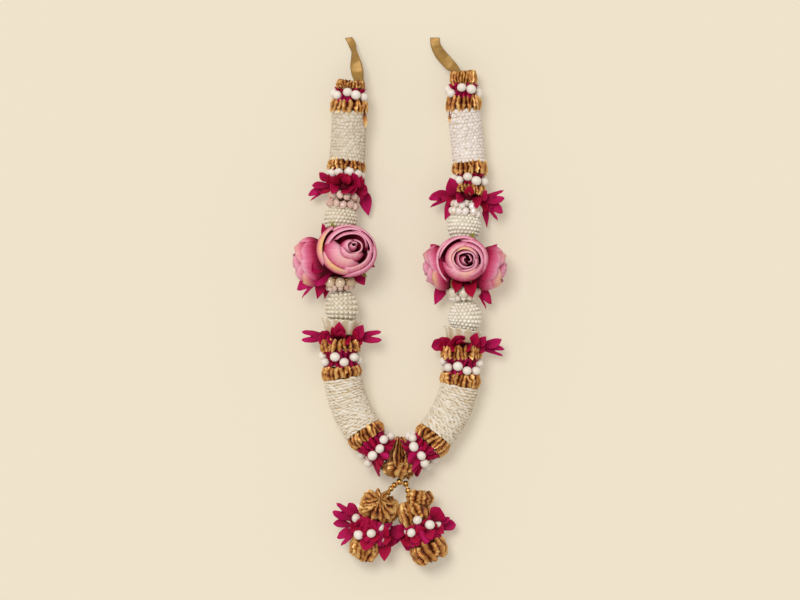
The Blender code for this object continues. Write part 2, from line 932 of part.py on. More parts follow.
def petal_blade(
    strand: Strand, hub: float, half: float, radius: float, petal: Petal
) -> bpy.types.Mesh:
    """Bend a cloth petal from the hub out to its tip.

    Args:
        strand: Route that the hub is threaded on.
        hub: Distance of the hub's middle along the strand.
        half: Half the hub's length.
        radius: Radius of the hub.
        petal: Where the petal's tip is and how wide it is.

    Returns:
        The petal's blade, whose root is sunk in the hub.
    """
    middle, along, up, side = strand.frame(hub)
    tip = Vector((middle.x + petal.dx * MM, middle.y + petal.dy * MM, petal.height * MM))
    offset = tip - middle
    root_half = 0.16 * petal.width * MM
    room = max(half - root_half - 0.4 * MM, 0.0)
    shift = max(-room, min(room, offset.dot(along) * 0.5))
    out = (offset - along * offset.dot(along)).normalized()
    reach = offset.dot(out)
    root = middle + along * shift + out * (radius - 1.5 * MM)
    elbow = middle + along * shift + out * max(reach * 0.86, radius + 3 * MM)
    level = Vector((petal.dx, petal.dy, 0.0)).normalized()
    across = Vector((-level.y, level.x, 0.0))
    front = abs(out.z) > 0.6
    widths = (0.3, 0.8, 1.0) if front else (0.3, 0.34, 1.0)
    places = (0.0, 0.45, 0.74)
    grid = []
    for place_along, share in zip(places, widths):
        centre = curve(root, elbow, tip, place_along)
        half_width = across * (petal.width * MM / 2 * share)
        cup = Vector((0, 0, -1)) * (petal.width * MM * 0.08 * share)
        grid.append([centre - half_width, centre + cup, centre + half_width])
    if petal.forked:
        half_width = across * (petal.width * MM / 2 * 0.62)
        grid.append([tip - half_width, curve(root, elbow, tip, 0.88), tip + half_width])
    else:
        grid.append([tip])
    return sheet(grid, PETAL_THICKNESS, PETAL_LIFT, sharp=True)


def curve(start: Vector, control: Vector, end: Vector, u: float) -> Vector:
    """Return a point on a bend from start to end that leaves towards the control point."""
    return start * (1 - u) ** 2 + control * (2 * u * (1 - u)) + end * u**2


def whorl(
    strand: Strand,
    start: float,
    end: float,
    radius: float,
    petals: Sequence[Petal],
    cutters: Sequence[bpy.types.Mesh],
    hub: bpy.types.Mesh | None = None,
) -> bpy.types.Mesh:
    """Fuse petals to their hub, then cut clearance for the pieces that they lie against."""
    middle = (start + end) / 2
    if hub is None:
        hub = sleeve(strand, even_profile(start, end, radius), HUB_SIDES)
    blades = [petal_blade(strand, middle, (end - start) / 2, radius, item) for item in petals]
    body = combine([hub, *blades], "UNION")
    if cutters:
        body = combine([body, *cutters], "DIFFERENCE")
    return body


@dataclass(frozen=True)
class PetalLayer:
    """One layer of a rose: petals, points across each, half angle, turn, and profile.

    The profile holds the radius and height at the foot, the middle and the rim, as shares
    of the rose's radius and depth.
    """

    count: int
    columns: int
    half_angle: float
    start: float
    middle: tuple[float, float]
    rim: tuple[float, float]


ROSE_LAYERS = (
    PetalLayer(4, 4, 50.0, 0.0, (0.94, 0.40), (1.0, 0.84)),
    PetalLayer(3, 4, 62.0, 40.0, (0.72, 0.46), (0.76, 0.95)),
    PetalLayer(2, 4, 88.0, 10.0, (0.46, 0.52), (0.44, 1.0)),
)
PETAL_FOOT = (3.4 * MM, 2.2 * MM)


def rose_petal(
    root: Vector, axes: tuple[Vector, Vector, Vector], layer: PetalLayer, index: int, size: Vector
) -> bpy.types.Mesh:
    """Shape one cupped rose petal round the flower's axis.

    Args:
        root: Foot of the rose.
        axes: The way that the rose faces, and two ways across it.
        layer: Layer that the petal belongs to.
        index: Number of the petal in its layer.
        size: Radius and depth of the rose.

    Returns:
        The petal's blade, whose foot is sunk in the bud.
    """
    way, up, side = axes
    turn = math.radians(layer.start) + math.tau * index / layer.count
    middle = (layer.middle[0] * size.x, layer.middle[1] * size.y)
    rim = (layer.rim[0] * size.x, layer.rim[1] * size.y)
    shares = (0.8, 1.0, 0.72)
    grid = []
    for row, (radius, height) in enumerate((PETAL_FOOT, middle, rim)):
        points = []
        for column in range(layer.columns):
            c = 2 * column / (layer.columns - 1) - 1
            angle = turn + c * math.radians(layer.half_angle) * shares[row]
            lap = c * ROSE_PETAL_LAP * (0.4 if row == 0 else 1.0)
            drop = 0.1 * height * c * c if row == 2 else 0.0
            outward = up * math.cos(angle) + side * math.sin(angle)
            points.append(root + outward * (radius + lap) + way * (height - drop))
        grid.append(points)
    return sheet(grid, PETAL_THICKNESS, PETAL_LIFT, sharp=True)


def rose_body(root: Vector, plan: Rose) -> bpy.types.Mesh:
    """Fuse a rose: a bud, three layers of cupped petals and the sepals below them.

    Args:
        root: Foot of the rose, where it meets the hub.
        plan: Direction and size of the rose.

    Returns:
        One closed body.
    """
    way = Vector(plan.direction).normalized()
    guide = Vector((0, 1, 0))
    up = (guide - way * guide.dot(way)).normalized()
    axes = (way, up, up.cross(way))
    radius = plan.radius * MM
    depth = plan.depth * MM
    axis = Strand([root, root + way * depth])
    bud_profile = [
        (0.0, 3.4 * MM),
        (2.2 * MM, 6.0 * MM),
        (depth * 0.5, radius * 0.24),
        (depth * 0.93, radius * 0.13),
    ]
    parts = [sleeve_solid(axis, bud_profile, BUD_SIDES)]
    size = Vector((radius, depth))
    for layer in ROSE_LAYERS:
        parts += [rose_petal(root, axes, layer, index, size) for index in range(layer.count)]
    for turn in plan.sepals:
        parts.append(sepal(root, axes, math.radians(turn), radius, depth))
    return combine(parts, "UNION")


def rose_room(root: Vector, plan: Rose) -> bpy.types.Mesh:
    """Return a plain turned cup round a rose, to cut clearance with."""
    way = Vector(plan.direction).normalized()
    radius = plan.radius * MM
    depth = plan.depth * MM
    wide = (radius + ROSE_PETAL_LAP + PETAL_THICKNESS) / math.cos(math.pi / ROOM_SIDES)
    profile = [
        (-GAP, 8.0 * MM),
        (depth * 0.38, wide * 0.97),
        (depth * 0.86, wide),
        (depth + PETAL_THICKNESS, wide * 0.8),
    ]
    return turned_room(Strand([root, root + way * depth]), profile)


def sepal(
    root: Vector, axes: tuple[Vector, Vector, Vector], turn: float, radius: float, depth: float
) -> bpy.types.Mesh:
    """Shape one narrow sepal that spreads from below the petals."""
    way, up, side = axes
    outward = up * math.cos(turn) + side * math.sin(turn)
    across = way.cross(outward)
    reach = radius * 1.06
    grid = []
    for share, width in ((0.1, 1.6), (0.5, 3.6), (0.8, 3.0)):
        centre = root + outward * (reach * share) + way * (depth * 0.16 * share + 0.8 * MM)
        grid.append([centre - across * width * MM, centre, centre + across * width * MM])
    grid.append([root + outward * reach + way * (depth * 0.2)])
    return sheet(grid, PETAL_THICKNESS, PETAL_LIFT, sharp=True)


def sleeve_solid(strand: Strand, profile: Profile, sides: int) -> bpy.types.Mesh:
    """Turn a solid body round a line, with no bore."""
    rings = []
    for distance, radius in profile:
        row = []
        for side in range(sides):
            point = strand.point(distance, math.tau * side / sides, radius)
            point.z = max(point.z, 0.0)
            row.append(point)
        rings.append(row)
    return ring_body(rings, closed=False)


def spans_of(plan: StrandPlan) -> Spans:
    """Return where each threaded piece starts and ends along its strand."""
    spans = {}
    distance = 0.0
    for name, length in plan.lengths.items():
        spans[name] = (distance, distance + length * MM)
        distance += length * MM + GAP
    return spans


def ball_profile(start: float, end: float) -> list[tuple[float, float]]:
    """Return the turned profile of a ball that is flat where its bore comes out."""
    middle = (start + end) / 2
    radius = (end - start) / 2
    first = math.asin((BORE_RADIUS + 1.4 * MM) / radius)
    profile = []
    for ring in range(PEARL_BALL_RINGS):
        angle = first + (math.pi - 2 * first) * ring / (PEARL_BALL_RINGS - 1)
        profile.append((middle - radius * math.cos(angle), radius * math.sin(angle)))
    return profile


def pearl_ball(strand: Strand, start: float, end: float) -> bpy.types.Mesh:
    """Turn a ball whose surface is raised in staggered rows of pearls."""

    def pearls(ring: int, side: int) -> float:
        if ring in (0, PEARL_BALL_RINGS - 1):
            return 0.0
        return 0.0 if (ring + side) % 2 else -PEARL_RELIEF

    return sleeve(strand, ball_profile(start, end), PEARL_BALL_SIDES, pearls)


def bud_tube(strand: Strand, start: float, end: float, radius: float) -> bpy.types.Mesh:
    """Make a tube whose surface is raised in rows of buds."""
    outer = []
    for ring in range(TUBE_RINGS):
        outer.append((start + (end - start) * ring / (TUBE_RINGS - 1), radius))

    def buds(ring: int, side: int) -> float:
        if ring in (0, TUBE_RINGS - 1):
            return -BUD_RELIEF
        return 0.0 if (ring + side) % 2 else -BUD_RELIEF

    return sleeve(strand, outer, TUBE_SIDES, buds)


def crystal_cup(
    strand: Strand, start: float, end: float, ball: tuple[float, float]
) -> bpy.types.Mesh:
    """Turn the flared cup that the lower ball sits in.

    Args:
        strand: Route that the cup is threaded on.
        start: Distance of the cup's seat, just below the ball.
        end: Distance of the cup's foot.
        ball: Distances where the ball starts and ends.

    Returns:
        The cup, whose rim stands round the foot of the ball.
    """
    rim = start - CUP_RIM_LIFT
    middle = (ball[0] + ball[1]) / 2
    room = (ball[1] - ball[0]) / 2 + GAP + PEARL_RELIEF * 0.3
    waist = CUP_FOOT_RADIUS + 1.5 * MM
    outer = [(rim, CUP_RIM_RADIUS), (start + 2 * MM, waist), (end, CUP_FOOT_RADIUS)]
    inner = [(rim, CUP_RIM_RADIUS - CUP_WALL)]
    for distance in (start - 2.5 * MM, start - 0.7 * MM):
        inner.append((distance, math.sqrt(max(room**2 - (distance - middle) ** 2, 0)) + 0.8 * MM))
    inner.append((start, BORE_RADIUS))
    inner.append((end, BORE_RADIUS))

    def facets(ring: int, side: int) -> float:
        return 0.0 if side % 2 or ring == 2 else -0.9 * MM

    return sleeve(strand, outer, CUP_SIDES, facets, inner, CUP_SIDES)


def crystal_cluster(
    strand: Strand, start: float, end: float, ball: tuple[float, float]
) -> bpy.types.Mesh:
    """Raise two staggered rows of crystal drops round the spacer above the upper ball.

    Args:
        strand: Route that the drops are threaded on.
        start: Distance where the upper row starts.
        end: Distance of the top of the ball.
        ball: Distances where the ball starts and ends.

    Returns:
        One body, hollowed below so that its lower row stands round the top of the ball.
    """
    drop = 4.6 * MM
    upper = start + drop
    lower = end + 3.0 * MM
    skirt = end + CRYSTAL_SKIRT
    middle = (ball[0] + ball[1]) / 2
    room = (ball[1] - ball[0]) / 2 + 2 * GAP

    def over_ball(distance: float) -> float:
        return math.sqrt(room**2 - (distance - middle) ** 2)

    outer = [
        (start, 8.0 * MM),
        (upper, 15.6 * MM),
        ((upper + lower) / 2, 14.0 * MM),
        (lower, over_ball(lower) + 2 * drop),
        (skirt, over_ball(skirt) + 1.2 * drop),
    ]
    inner = [(start, BORE_RADIUS), (end - GAP, BORE_RADIUS)]
    for distance in (end + 0.9 * MM, lower, skirt):
        inner.append((distance, over_ball(distance) / math.cos(math.pi / CRYSTAL_SIDES)))

    def drops(ring: int, side: int) -> float:
        in_upper_row = ring == 1 and side % 2
        in_lower_row = ring >= 3 and side % 2 == 0
        return -CRYSTAL_NOTCH if in_upper_row or in_lower_row else 0.0

    return sleeve(strand, outer, CRYSTAL_SIDES, drops, inner, CRYSTAL_SIDES)


def pearl_ring(strand: Strand, start: float, end: float) -> bpy.types.Mesh:
    """Raise a ring of large pearls, with a row of crystals below it, round their spacer."""
    outer = [
        (start, 9.0 * MM),
        (start + 1.6 * MM, 16.2 * MM),
        (start + PEARL_RADIUS, PEARL_RING_RADIUS + PEARL_RADIUS),
        (start + PEARL_RADIUS * 1.9, 16.0 * MM),
        (end - 2.2 * MM, 17.2 * MM),
        (end, 8.0 * MM),
    ]

    def pearls(ring: int, side: int) -> float:
        in_pearl_row = 1 <= ring <= 3 and side % 2
        in_crystal_row = ring == 4 and side % 2 == 0
        return -PEARL_NOTCH if in_pearl_row or in_crystal_row else 0.0

    return sleeve(strand, outer, PEARL_RING_COUNT * 2, pearls)


def beaded_band(
    strand: Strand, name: str, span: tuple[float, float], radius: float, phase: float
) -> None:
    """Add a frill with the bead string that is wound over it."""
    cloth = frill(strand, *span, radius - BEAD_SEAT, BAND_BEADS, phase)
    add_node(f"{name}_frill", cloth, MAGENTA_CLOTH)
    string = bead_ring(strand, *span, radius, BAND_BEADS, phase)
    add_node(f"{name}_beads", string, WHITE_BEAD)


def ribbon_tie(side: str, rows: Sequence[tuple[Vector, Vector]]) -> None:
    """Add one ribbon tie from its cut end to the cap, by its middle line and half widths."""
    grid = [[centre - half, centre, centre + half] for centre, half in rows]
    add_node(f"{side}_ribbon_tie", sheet(grid, RIBBON_THICKNESS, 0.0, sharp=False), GOLD_RIBBON)


def build_strand(plan: StrandPlan) -> Strand:
    """Model every piece that is threaded on one strand."""
    strand = Strand([mm(*point) for point in plan.route])
    spans = spans_of(plan)
    build_upper_half(plan, strand, spans)
    build_flowers(plan, strand, spans)
    build_lower_half(plan, strand, spans)
    return strand


def build_upper_half(plan: StrandPlan, strand: Strand, spans: Spans) -> None:
    """Add a strand's pieces from its cap down to the petals over its upper pearl ball."""
    side = plan.side
    slim = plan.upper_radius / LEFT.upper_radius
    second = (*spans["top_ruffle"], TOP_RUFFLE_RADIUS * slim)
    top = ruffle(strand, *spans["cap"], CAP_RADIUS * slim, second)
    add_node(f"{side}_top_ruffles", top, GOLD_TISSUE)
    phase = plan.bead_phases[0]
    beaded_band(strand, f"{side}_top", spans["top_frill"], TOP_STRING_RADIUS * slim, phase)
    tube = bud_tube(strand, *spans["upper_tube"], plan.upper_radius * MM)
    add_node(f"{side}_upper_tube", tube, WHITE_BUDS)

    skirt = spans["crystals"][1] + CRYSTAL_SKIRT
    cutters = [
        envelope(strand, *spans["b_frill"], B_STRING_RADIUS + BEAD_RADIUS),
        envelope(strand, spans["crystals"][0], skirt, CRYSTAL_REACH),
        ball_envelope(strand, *spans["upper_ball"]),
    ]
    second = None
    if plan.band_b_pair:
        second = (*spans["b2_ruffle"], B2_RUFFLE_RADIUS)
        cutters.append(envelope(strand, *second))
    gold = ruffle(strand, *spans["b_ruffle"], B_RUFFLE_RADIUS * slim, second)
    add_node(f"{side}_b_ruffles", gold, GOLD_TISSUE)
    beaded_band(strand, f"{side}_b", spans["b_frill"], B_STRING_RADIUS, plan.bead_phases[1])

    ball = pearl_ball(strand, *spans["upper_ball"])
    add_node(f"{side}_upper_pearl_ball", ball, PEARL)
    crystals = crystal_cluster(strand, *spans["crystals"], spans["upper_ball"])
    add_node(f"{side}_crystal_cluster", crystals, CRYSTAL, smooth=False)
    petals = whorl(strand, *spans["b_petals"], PETAL_HUB_RADIUS, plan.whorl_b, cutters)
    add_node(f"{side}_upper_petals", petals, MAGENTA_CLOTH)


def build_flowers(plan: StrandPlan, strand: Strand, spans: Spans) -> None:
    """Add a strand's roses, the petals between them and the ring, ball and cup below."""
    side = plan.side
    ring = pearl_ring(strand, *spans["pearl_ring"])
    add_node(f"{side}_pearl_ring", ring, PEARL)
    ball = pearl_ball(strand, *spans["lower_ball"])
    add_node(f"{side}_lower_pearl_ball", ball, PEARL)
    cup = crystal_cup(strand, *spans["cup"], spans["lower_ball"])
    add_node(f"{side}_crystal_cup", cup, CRYSTAL, smooth=False)
    rooms = [
        *build_roses(plan, strand, spans["cluster"]),
        ball_envelope(strand, *spans["upper_ball"]),
        envelope(strand, *spans["pearl_ring"], PEARL_RING_RADIUS + PEARL_RADIUS),
        ball_envelope(strand, *spans["lower_ball"]),
    ]
    cluster = whorl(strand, *spans["cluster"], HUB_RADIUS, plan.cluster, rooms)
    add_node(f"{side}_rose_petals", cluster, MAGENTA_CLOTH)


def build_lower_half(plan: StrandPlan, strand: Strand, spans: Spans) -> None:
    """Add a strand's pieces from the petals below its cup down to its last bead string."""
    side = plan.side
    second = (*spans["c2_ruffle"], C2_RUFFLE_RADIUS)
    gold = ruffle(strand, *spans["c_ruffle"], C_RUFFLE_RADIUS, second)
    add_node(f"{side}_c_ruffles", gold, GOLD_TISSUE)
    beaded_band(strand, f"{side}_c", spans["c_frill"], C_STRING_RADIUS, plan.bead_phases[2])
    cutters = [
        envelope(strand, *spans["c_ruffle"], C_RUFFLE_RADIUS),
        envelope(strand, spans["cup"][0] - CUP_RIM_LIFT, spans["cup"][1], CUP_RIM_RADIUS),
    ]
    petals = whorl(strand, *spans["c_petals"], PETAL_HUB_RADIUS, plan.whorl_c, cutters)
    add_node(f"{side}_lower_petals", petals, MAGENTA_CLOTH)
    tube = bud_tube(strand, *spans["lower_tube"], LOWER_TUBE_RADIUS)
    add_node(f"{side}_lower_tube", tube, WHITE_BUDS)
    gold = ruffle(strand, *spans["d_ruffle"], D_RUFFLE_RADIUS)
    add_node(f"{side}_d_ruffle", gold, GOLD_TISSUE)
    beaded_band(strand, f"{side}_d", spans["d_frill"], D_STRING_RADIUS, plan.bead_phases[3])


def build_roses(
    plan: StrandPlan, strand: Strand, span: tuple[float, float]
) -> list[bpy.types.Mesh]:
    """Add a strand's roses, and return the rooms that other pieces keep out of."""
    rooms = []
    for item in plan.roses:
        distance = span[0] + (span[1] - span[0]) * item.along
        centre, along, _, _ = strand.frame(distance)
        way = Vector(item.direction).normalized()
        out = (way - along * way.dot(along)).normalized()
        root = centre + out * (HUB_RADIUS + GAP + 0.1 * MM)
        body = rose_body(root, item)
        if rooms:
            body = combine([body, rooms[0]], "DIFFERENCE")
        rooms.append(rose_room(root, item))
        add_node(f"{plan.side}_{item.name}", body, ROSE_CLOTH)
    return rooms


def cord_object(name: str, points: Sequence[Vector], radius: float) -> bpy.types.Object:
    """Add a round cord through some points."""
    line = bpy.data.curves.new(name, "CURVE")
    line.dimensions = "3D"
    line.bevel_depth = radius
    line.bevel_resolution = 1
    line.use_fill_caps = True
    spline = line.splines.new("POLY")
    spline.points.add(len(points) - 1)
    for target, point in zip(spline.points, points):
        target.co = (*point, 1.0)
    item = bpy.data.objects.new(name, line)
    bpy.context.scene.collection.objects.link(item)
    return item


def build_core_cord(left: Strand, right: Strand) -> bpy.types.Mesh:
    """Add the cord that runs inside both strands, and return a wider copy for its bore."""
    inset = 1.0 * MM
    half = CORD_POINTS // 2
    points = []
    for index in range(half):
        points.append(left.at(inset + (left.length - inset) * index / half))
    points.append(left.at(left.length))
    for index in reversed(range(half)):
        points.append(right.at(inset + (right.length - inset) * index / half))
    cord = cord_object("core_cord", points, CORD_RADIUS)
    cord.data.materials.append(make_material("core_cord", CORD_FIBRE))
    wide = cord_object("channel", points, CORD_RADIUS + 2 * GAP)
    channel = evaluated(wide)
    bpy.data.objects.remove(wide, do_unlink=True)
    return channel


def build_centre(channel: bpy.types.Mesh) -> None:
    """Add the gathered gold ruffle over the place where the strands join."""
    line = Strand([CENTRE_TOP, CENTRE_FOOT])
    sides = CENTRE_PLEATS * 2

    def fold(ring: int, side: int) -> float:
        if ring in (0, len(CENTRE_PROFILE) - 1):
            return 0.0
        return -RUFFLE_FOLD_DEPTH * 0.9 if side % 2 else 0.0

    outer = [(distance * MM, radius * MM) for distance, radius in CENTRE_PROFILE]
    rings = []
    for ring, (distance, radius) in enumerate(outer):
        angles = [math.tau * side / sides for side in range(sides)]
        row = [line.point(distance, a, radius + fold(ring, i)) for i, a in enumerate(angles)]
        for point in row:
            point.z = max(point.z, 0.0)
        rings.append(row)
    body = ring_body(rings, closed=False)
    add_node("centre_ruffle", combine([body, channel], "DIFFERENCE"), GOLD_TISSUE)


def build_strings() -> None:
    """Add the gold bead string that hangs both pompons from the centre ruffle."""
    left, right = POMPONS
    climb = [pompon_line(left).at(STRING_INSET), *[mm(*point) for point in reversed(left.string)]]
    down = [*[mm(*point) for point in right.string], pompon_line(right).at(STRING_INSET)]
    route = [*climb, HANGING_KNOT, *down]
    radii = [GOLD_BEAD_RADIUS] * len(route)
    radii[0] = radii[-1] = 1.6 * MM
    radii[len(climb)] = GOLD_BEAD_RADIUS * 1.4
    outward = [Vector((0, 0, 1))] * len(route)
    string = bead_chain(route, radii, THREAD_RADIUS, outward, False)
    add_node("gold_bead_string", string, GOLD_BEAD)


def pompon_line(plan: PomponPlan) -> Strand:
    """Return the axis of a pompon."""
    return Strand([mm(*plan.top), mm(*plan.foot)])


def build_pompon(plan: PomponPlan) -> None:
    """Model one pompon: a gold crown and foot, magenta petals and a bead string."""
    line = pompon_line(plan)
    crown = (POMPON_CROWN_START, line.length * POMPON_CROWN_SHARE)
    cloth = (crown[1] + GAP, line.length * POMPON_CLOTH_SHARE)
    foot = (cloth[1] + GAP, line.length)
    gold = ruffle(line, *crown, plan.crown_radius * MM, (*foot, plan.foot_radius * MM))
    add_node(f"{plan.side}_pompon_ruffles", gold, GOLD_TISSUE)
    winding = (POMPON_STRING_RADIUS, POMPON_BEADS, plan.bead_phase)
    rooms = [
        envelope(line, *crown, plan.crown_radius * MM),
        envelope(line, *foot, plan.foot_radius * MM),
        bead_ring(line, *cloth, *winding, margin=GAP),
    ]
    radius = POMPON_STRING_RADIUS - BEAD_SEAT
    bore = [(cloth[0], FRILL_BORE), (cloth[1], FRILL_BORE)]
    hub = sleeve(line, [(cloth[0], radius), (cloth[1], radius)], HUB_SIDES, inner=bore)
    petals = whorl(line, *cloth, radius, plan.petals, rooms, hub)
    add_node(f"{plan.side}_pompon_petals", petals, MAGENTA_CLOTH)
    add_node(f"{plan.side}_pompon_beads", bead_ring(line, *cloth, *winding), WHITE_BEAD)


def build_ribbons() -> None:
    """Add both ribbon ties, which lie from the caps down to the surface."""
    ribbon_tie(
        "left",
        (
            (mm(-56.1, 288.3, 1.0), mm(4.0, 0.5, 0.4)),
            (mm(-53.0, 283.0, 3.0), mm(4.0, 1.0, 2.0)),
            (mm(-50.8, 276.5, 7.0), mm(2.6, 1.0, 4.2)),
            (mm(-49.2, 268.5, 12.0), mm(4.6, 1.4, 2.6)),
            (mm(-47.8, 258.5, 17.0), mm(6.6, 1.6, 0.6)),
            (mm(-46.2, 249.5, 20.5), mm(6.6, 1.8, -0.6)),
            (mm(-45.0, 241.2, 22.0), mm(5.0, 0.6, -0.8)),
        ),
    )
    ribbon_tie(
        "right",
        (
            (mm(38.8, 288.3, 1.0), mm(5.2, 0.0, 0.4)),
            (mm(39.6, 280.5, 3.0), mm(5.2, 1.6, 0.8)),
            (mm(43.6, 272.0, 8.0), mm(5.0, 3.6, 2.6)),
            (mm(49.5, 264.5, 13.0), mm(4.6, 4.4, 2.0)),
            (mm(56.0, 257.5, 17.0), mm(4.2, 4.6, 0.4)),
            (mm(61.6, 253.2, 18.6), mm(2.6, 2.2, 0.0)),
        ),
    )


def main() -> None:
    """Model the whole garland."""
    clear_scene()
    left = build_strand(LEFT)
    right = build_strand(RIGHT)
    channel = build_core_cord(left, right)
    build_centre(channel)
    build_strings()
    for plan in POMPONS:
        build_pompon(plan)
    build_ribbons()


main()
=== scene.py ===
"""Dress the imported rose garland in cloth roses, gathered gold tissue, beads, pearls and petals.

Two strands hang pieces on a core cord and join above a pair of pompons. Every piece is placed
by its distance along a strand, as in the solids. Sizes in the classes are in millimetres, and
the meshes are in metres.
"""

from __future__ import annotations

import logging
import math
from dataclasses import dataclass, field
from enum import Enum
from typing import Iterable, Sequence

import bmesh
import bpy
import numpy as np
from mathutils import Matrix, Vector


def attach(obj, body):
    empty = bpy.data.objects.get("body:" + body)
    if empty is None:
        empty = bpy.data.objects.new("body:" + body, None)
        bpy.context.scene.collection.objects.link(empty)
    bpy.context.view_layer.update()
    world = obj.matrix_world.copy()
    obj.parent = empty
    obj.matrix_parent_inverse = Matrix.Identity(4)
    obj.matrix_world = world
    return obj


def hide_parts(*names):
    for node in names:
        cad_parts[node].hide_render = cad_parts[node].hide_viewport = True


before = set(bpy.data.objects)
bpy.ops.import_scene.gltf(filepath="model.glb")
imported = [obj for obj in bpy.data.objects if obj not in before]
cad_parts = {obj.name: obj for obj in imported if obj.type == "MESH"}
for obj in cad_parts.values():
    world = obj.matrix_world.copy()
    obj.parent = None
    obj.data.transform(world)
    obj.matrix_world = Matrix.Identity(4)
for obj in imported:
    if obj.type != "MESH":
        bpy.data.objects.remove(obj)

LOG = logging.getLogger("garland")
MM = 0.001
SEED = 27
GAP = 0.3
BODY = "root"

# Radius of the bores through what the core cord carries, the length of a sleeve's steps, the
# number of its sides, and how thick petals and ribbons are
BORE = 2.9
SLEEVE_STEP = 6.0
SLEEVE_SIDES = 28
PETAL_THICKNESS = 0.55
ROSE_PETAL_THICKNESS = 0.6
RIBBON_THICKNESS = 0.4

# The photograph's scale: millimetres for each pixel, and the pixel over the origin
MM_PER_PIXEL = 1.1
ORIGIN_PIXEL = (399.5, 299.7)

Array = np.ndarray
Random = np.random.Generator
Item = bpy.types.Object
Triple = tuple[float, float, float]
Colour = Triple
Pixel = tuple[float, float]
Span = tuple[float, float]
# A narrow ribbon end by its root, its tip and its width
Tail = tuple[Triple, Triple, float]


def linear(colour: Colour) -> tuple[float, float, float, float]:
    """Return an 8-bit display colour as linear RGBA."""
    channels = [c / 255 for c in colour]
    red, green, blue = (
        c / 12.92 if c <= 0.04045 else ((c + 0.055) / 1.055) ** 2.4 for c in channels
    )
    return (red, green, blue, 1.0)


def unit(vector: Array) -> Array:
    """Return vectors scaled to length one."""
    return vector / np.maximum(np.linalg.norm(vector, axis=-1, keepdims=True), 1e-12)


def smooth_step(low: float, high: float, value: Array) -> Array:
    """Return a soft step from 0 to 1 between two values."""
    share = np.clip((value - low) / (high - low), 0.0, 1.0)
    return share * share * (3 - 2 * share)


def turn_angles(count: int) -> Array:
    """Return angles that share out one whole turn."""
    return np.linspace(0, math.tau, count, endpoint=False)


def through(low: Array, middle: Array, high: Array, v: Array) -> Array:
    """Return values on the smooth curve through three values at the shares 0, 0.5 and 1."""
    return low * (1 - v) * (1 - 2 * v) + middle * 4 * v * (1 - v) + high * v * (2 * v - 1)


# Nodes and the sums that join them


class Value:
    """A node socket that takes part in sums, differences, products and quotients."""

    def __init__(self, graph: Graph, socket: bpy.types.NodeSocket) -> None:
        self.graph = graph
        self.socket = socket

    def _math(self, operation: str, first: object, second: object) -> Value:
        """Return the result of one Math node."""
        node = self.graph.node("ShaderNodeMath", {"operation": operation}, {0: first, 1: second})
        return Value(self.graph, node.outputs[0])

    def __add__(self, other: Value | float) -> Value:
        """Add a value or a number."""
        return self._math("ADD", self, other)

    def __radd__(self, other: float) -> Value:
        """Add to a number."""
        return self._math("ADD", other, self)

    def __sub__(self, other: Value | float) -> Value:
        """Subtract a value or a number."""
        return self._math("SUBTRACT", self, other)

    def __rsub__(self, other: float) -> Value:
        """Subtract from a number."""
        return self._math("SUBTRACT", other, self)

    def __mul__(self, other: Value | float) -> Value:
        """Multiply by a value or a number."""
        return self._math("MULTIPLY", self, other)

    def __rmul__(self, other: float) -> Value:
        """Multiply a number."""
        return self._math("MULTIPLY", other, self)

    def __pow__(self, power: float) -> Value:
        """Raise to a power."""
        return self._math("POWER", self, power)


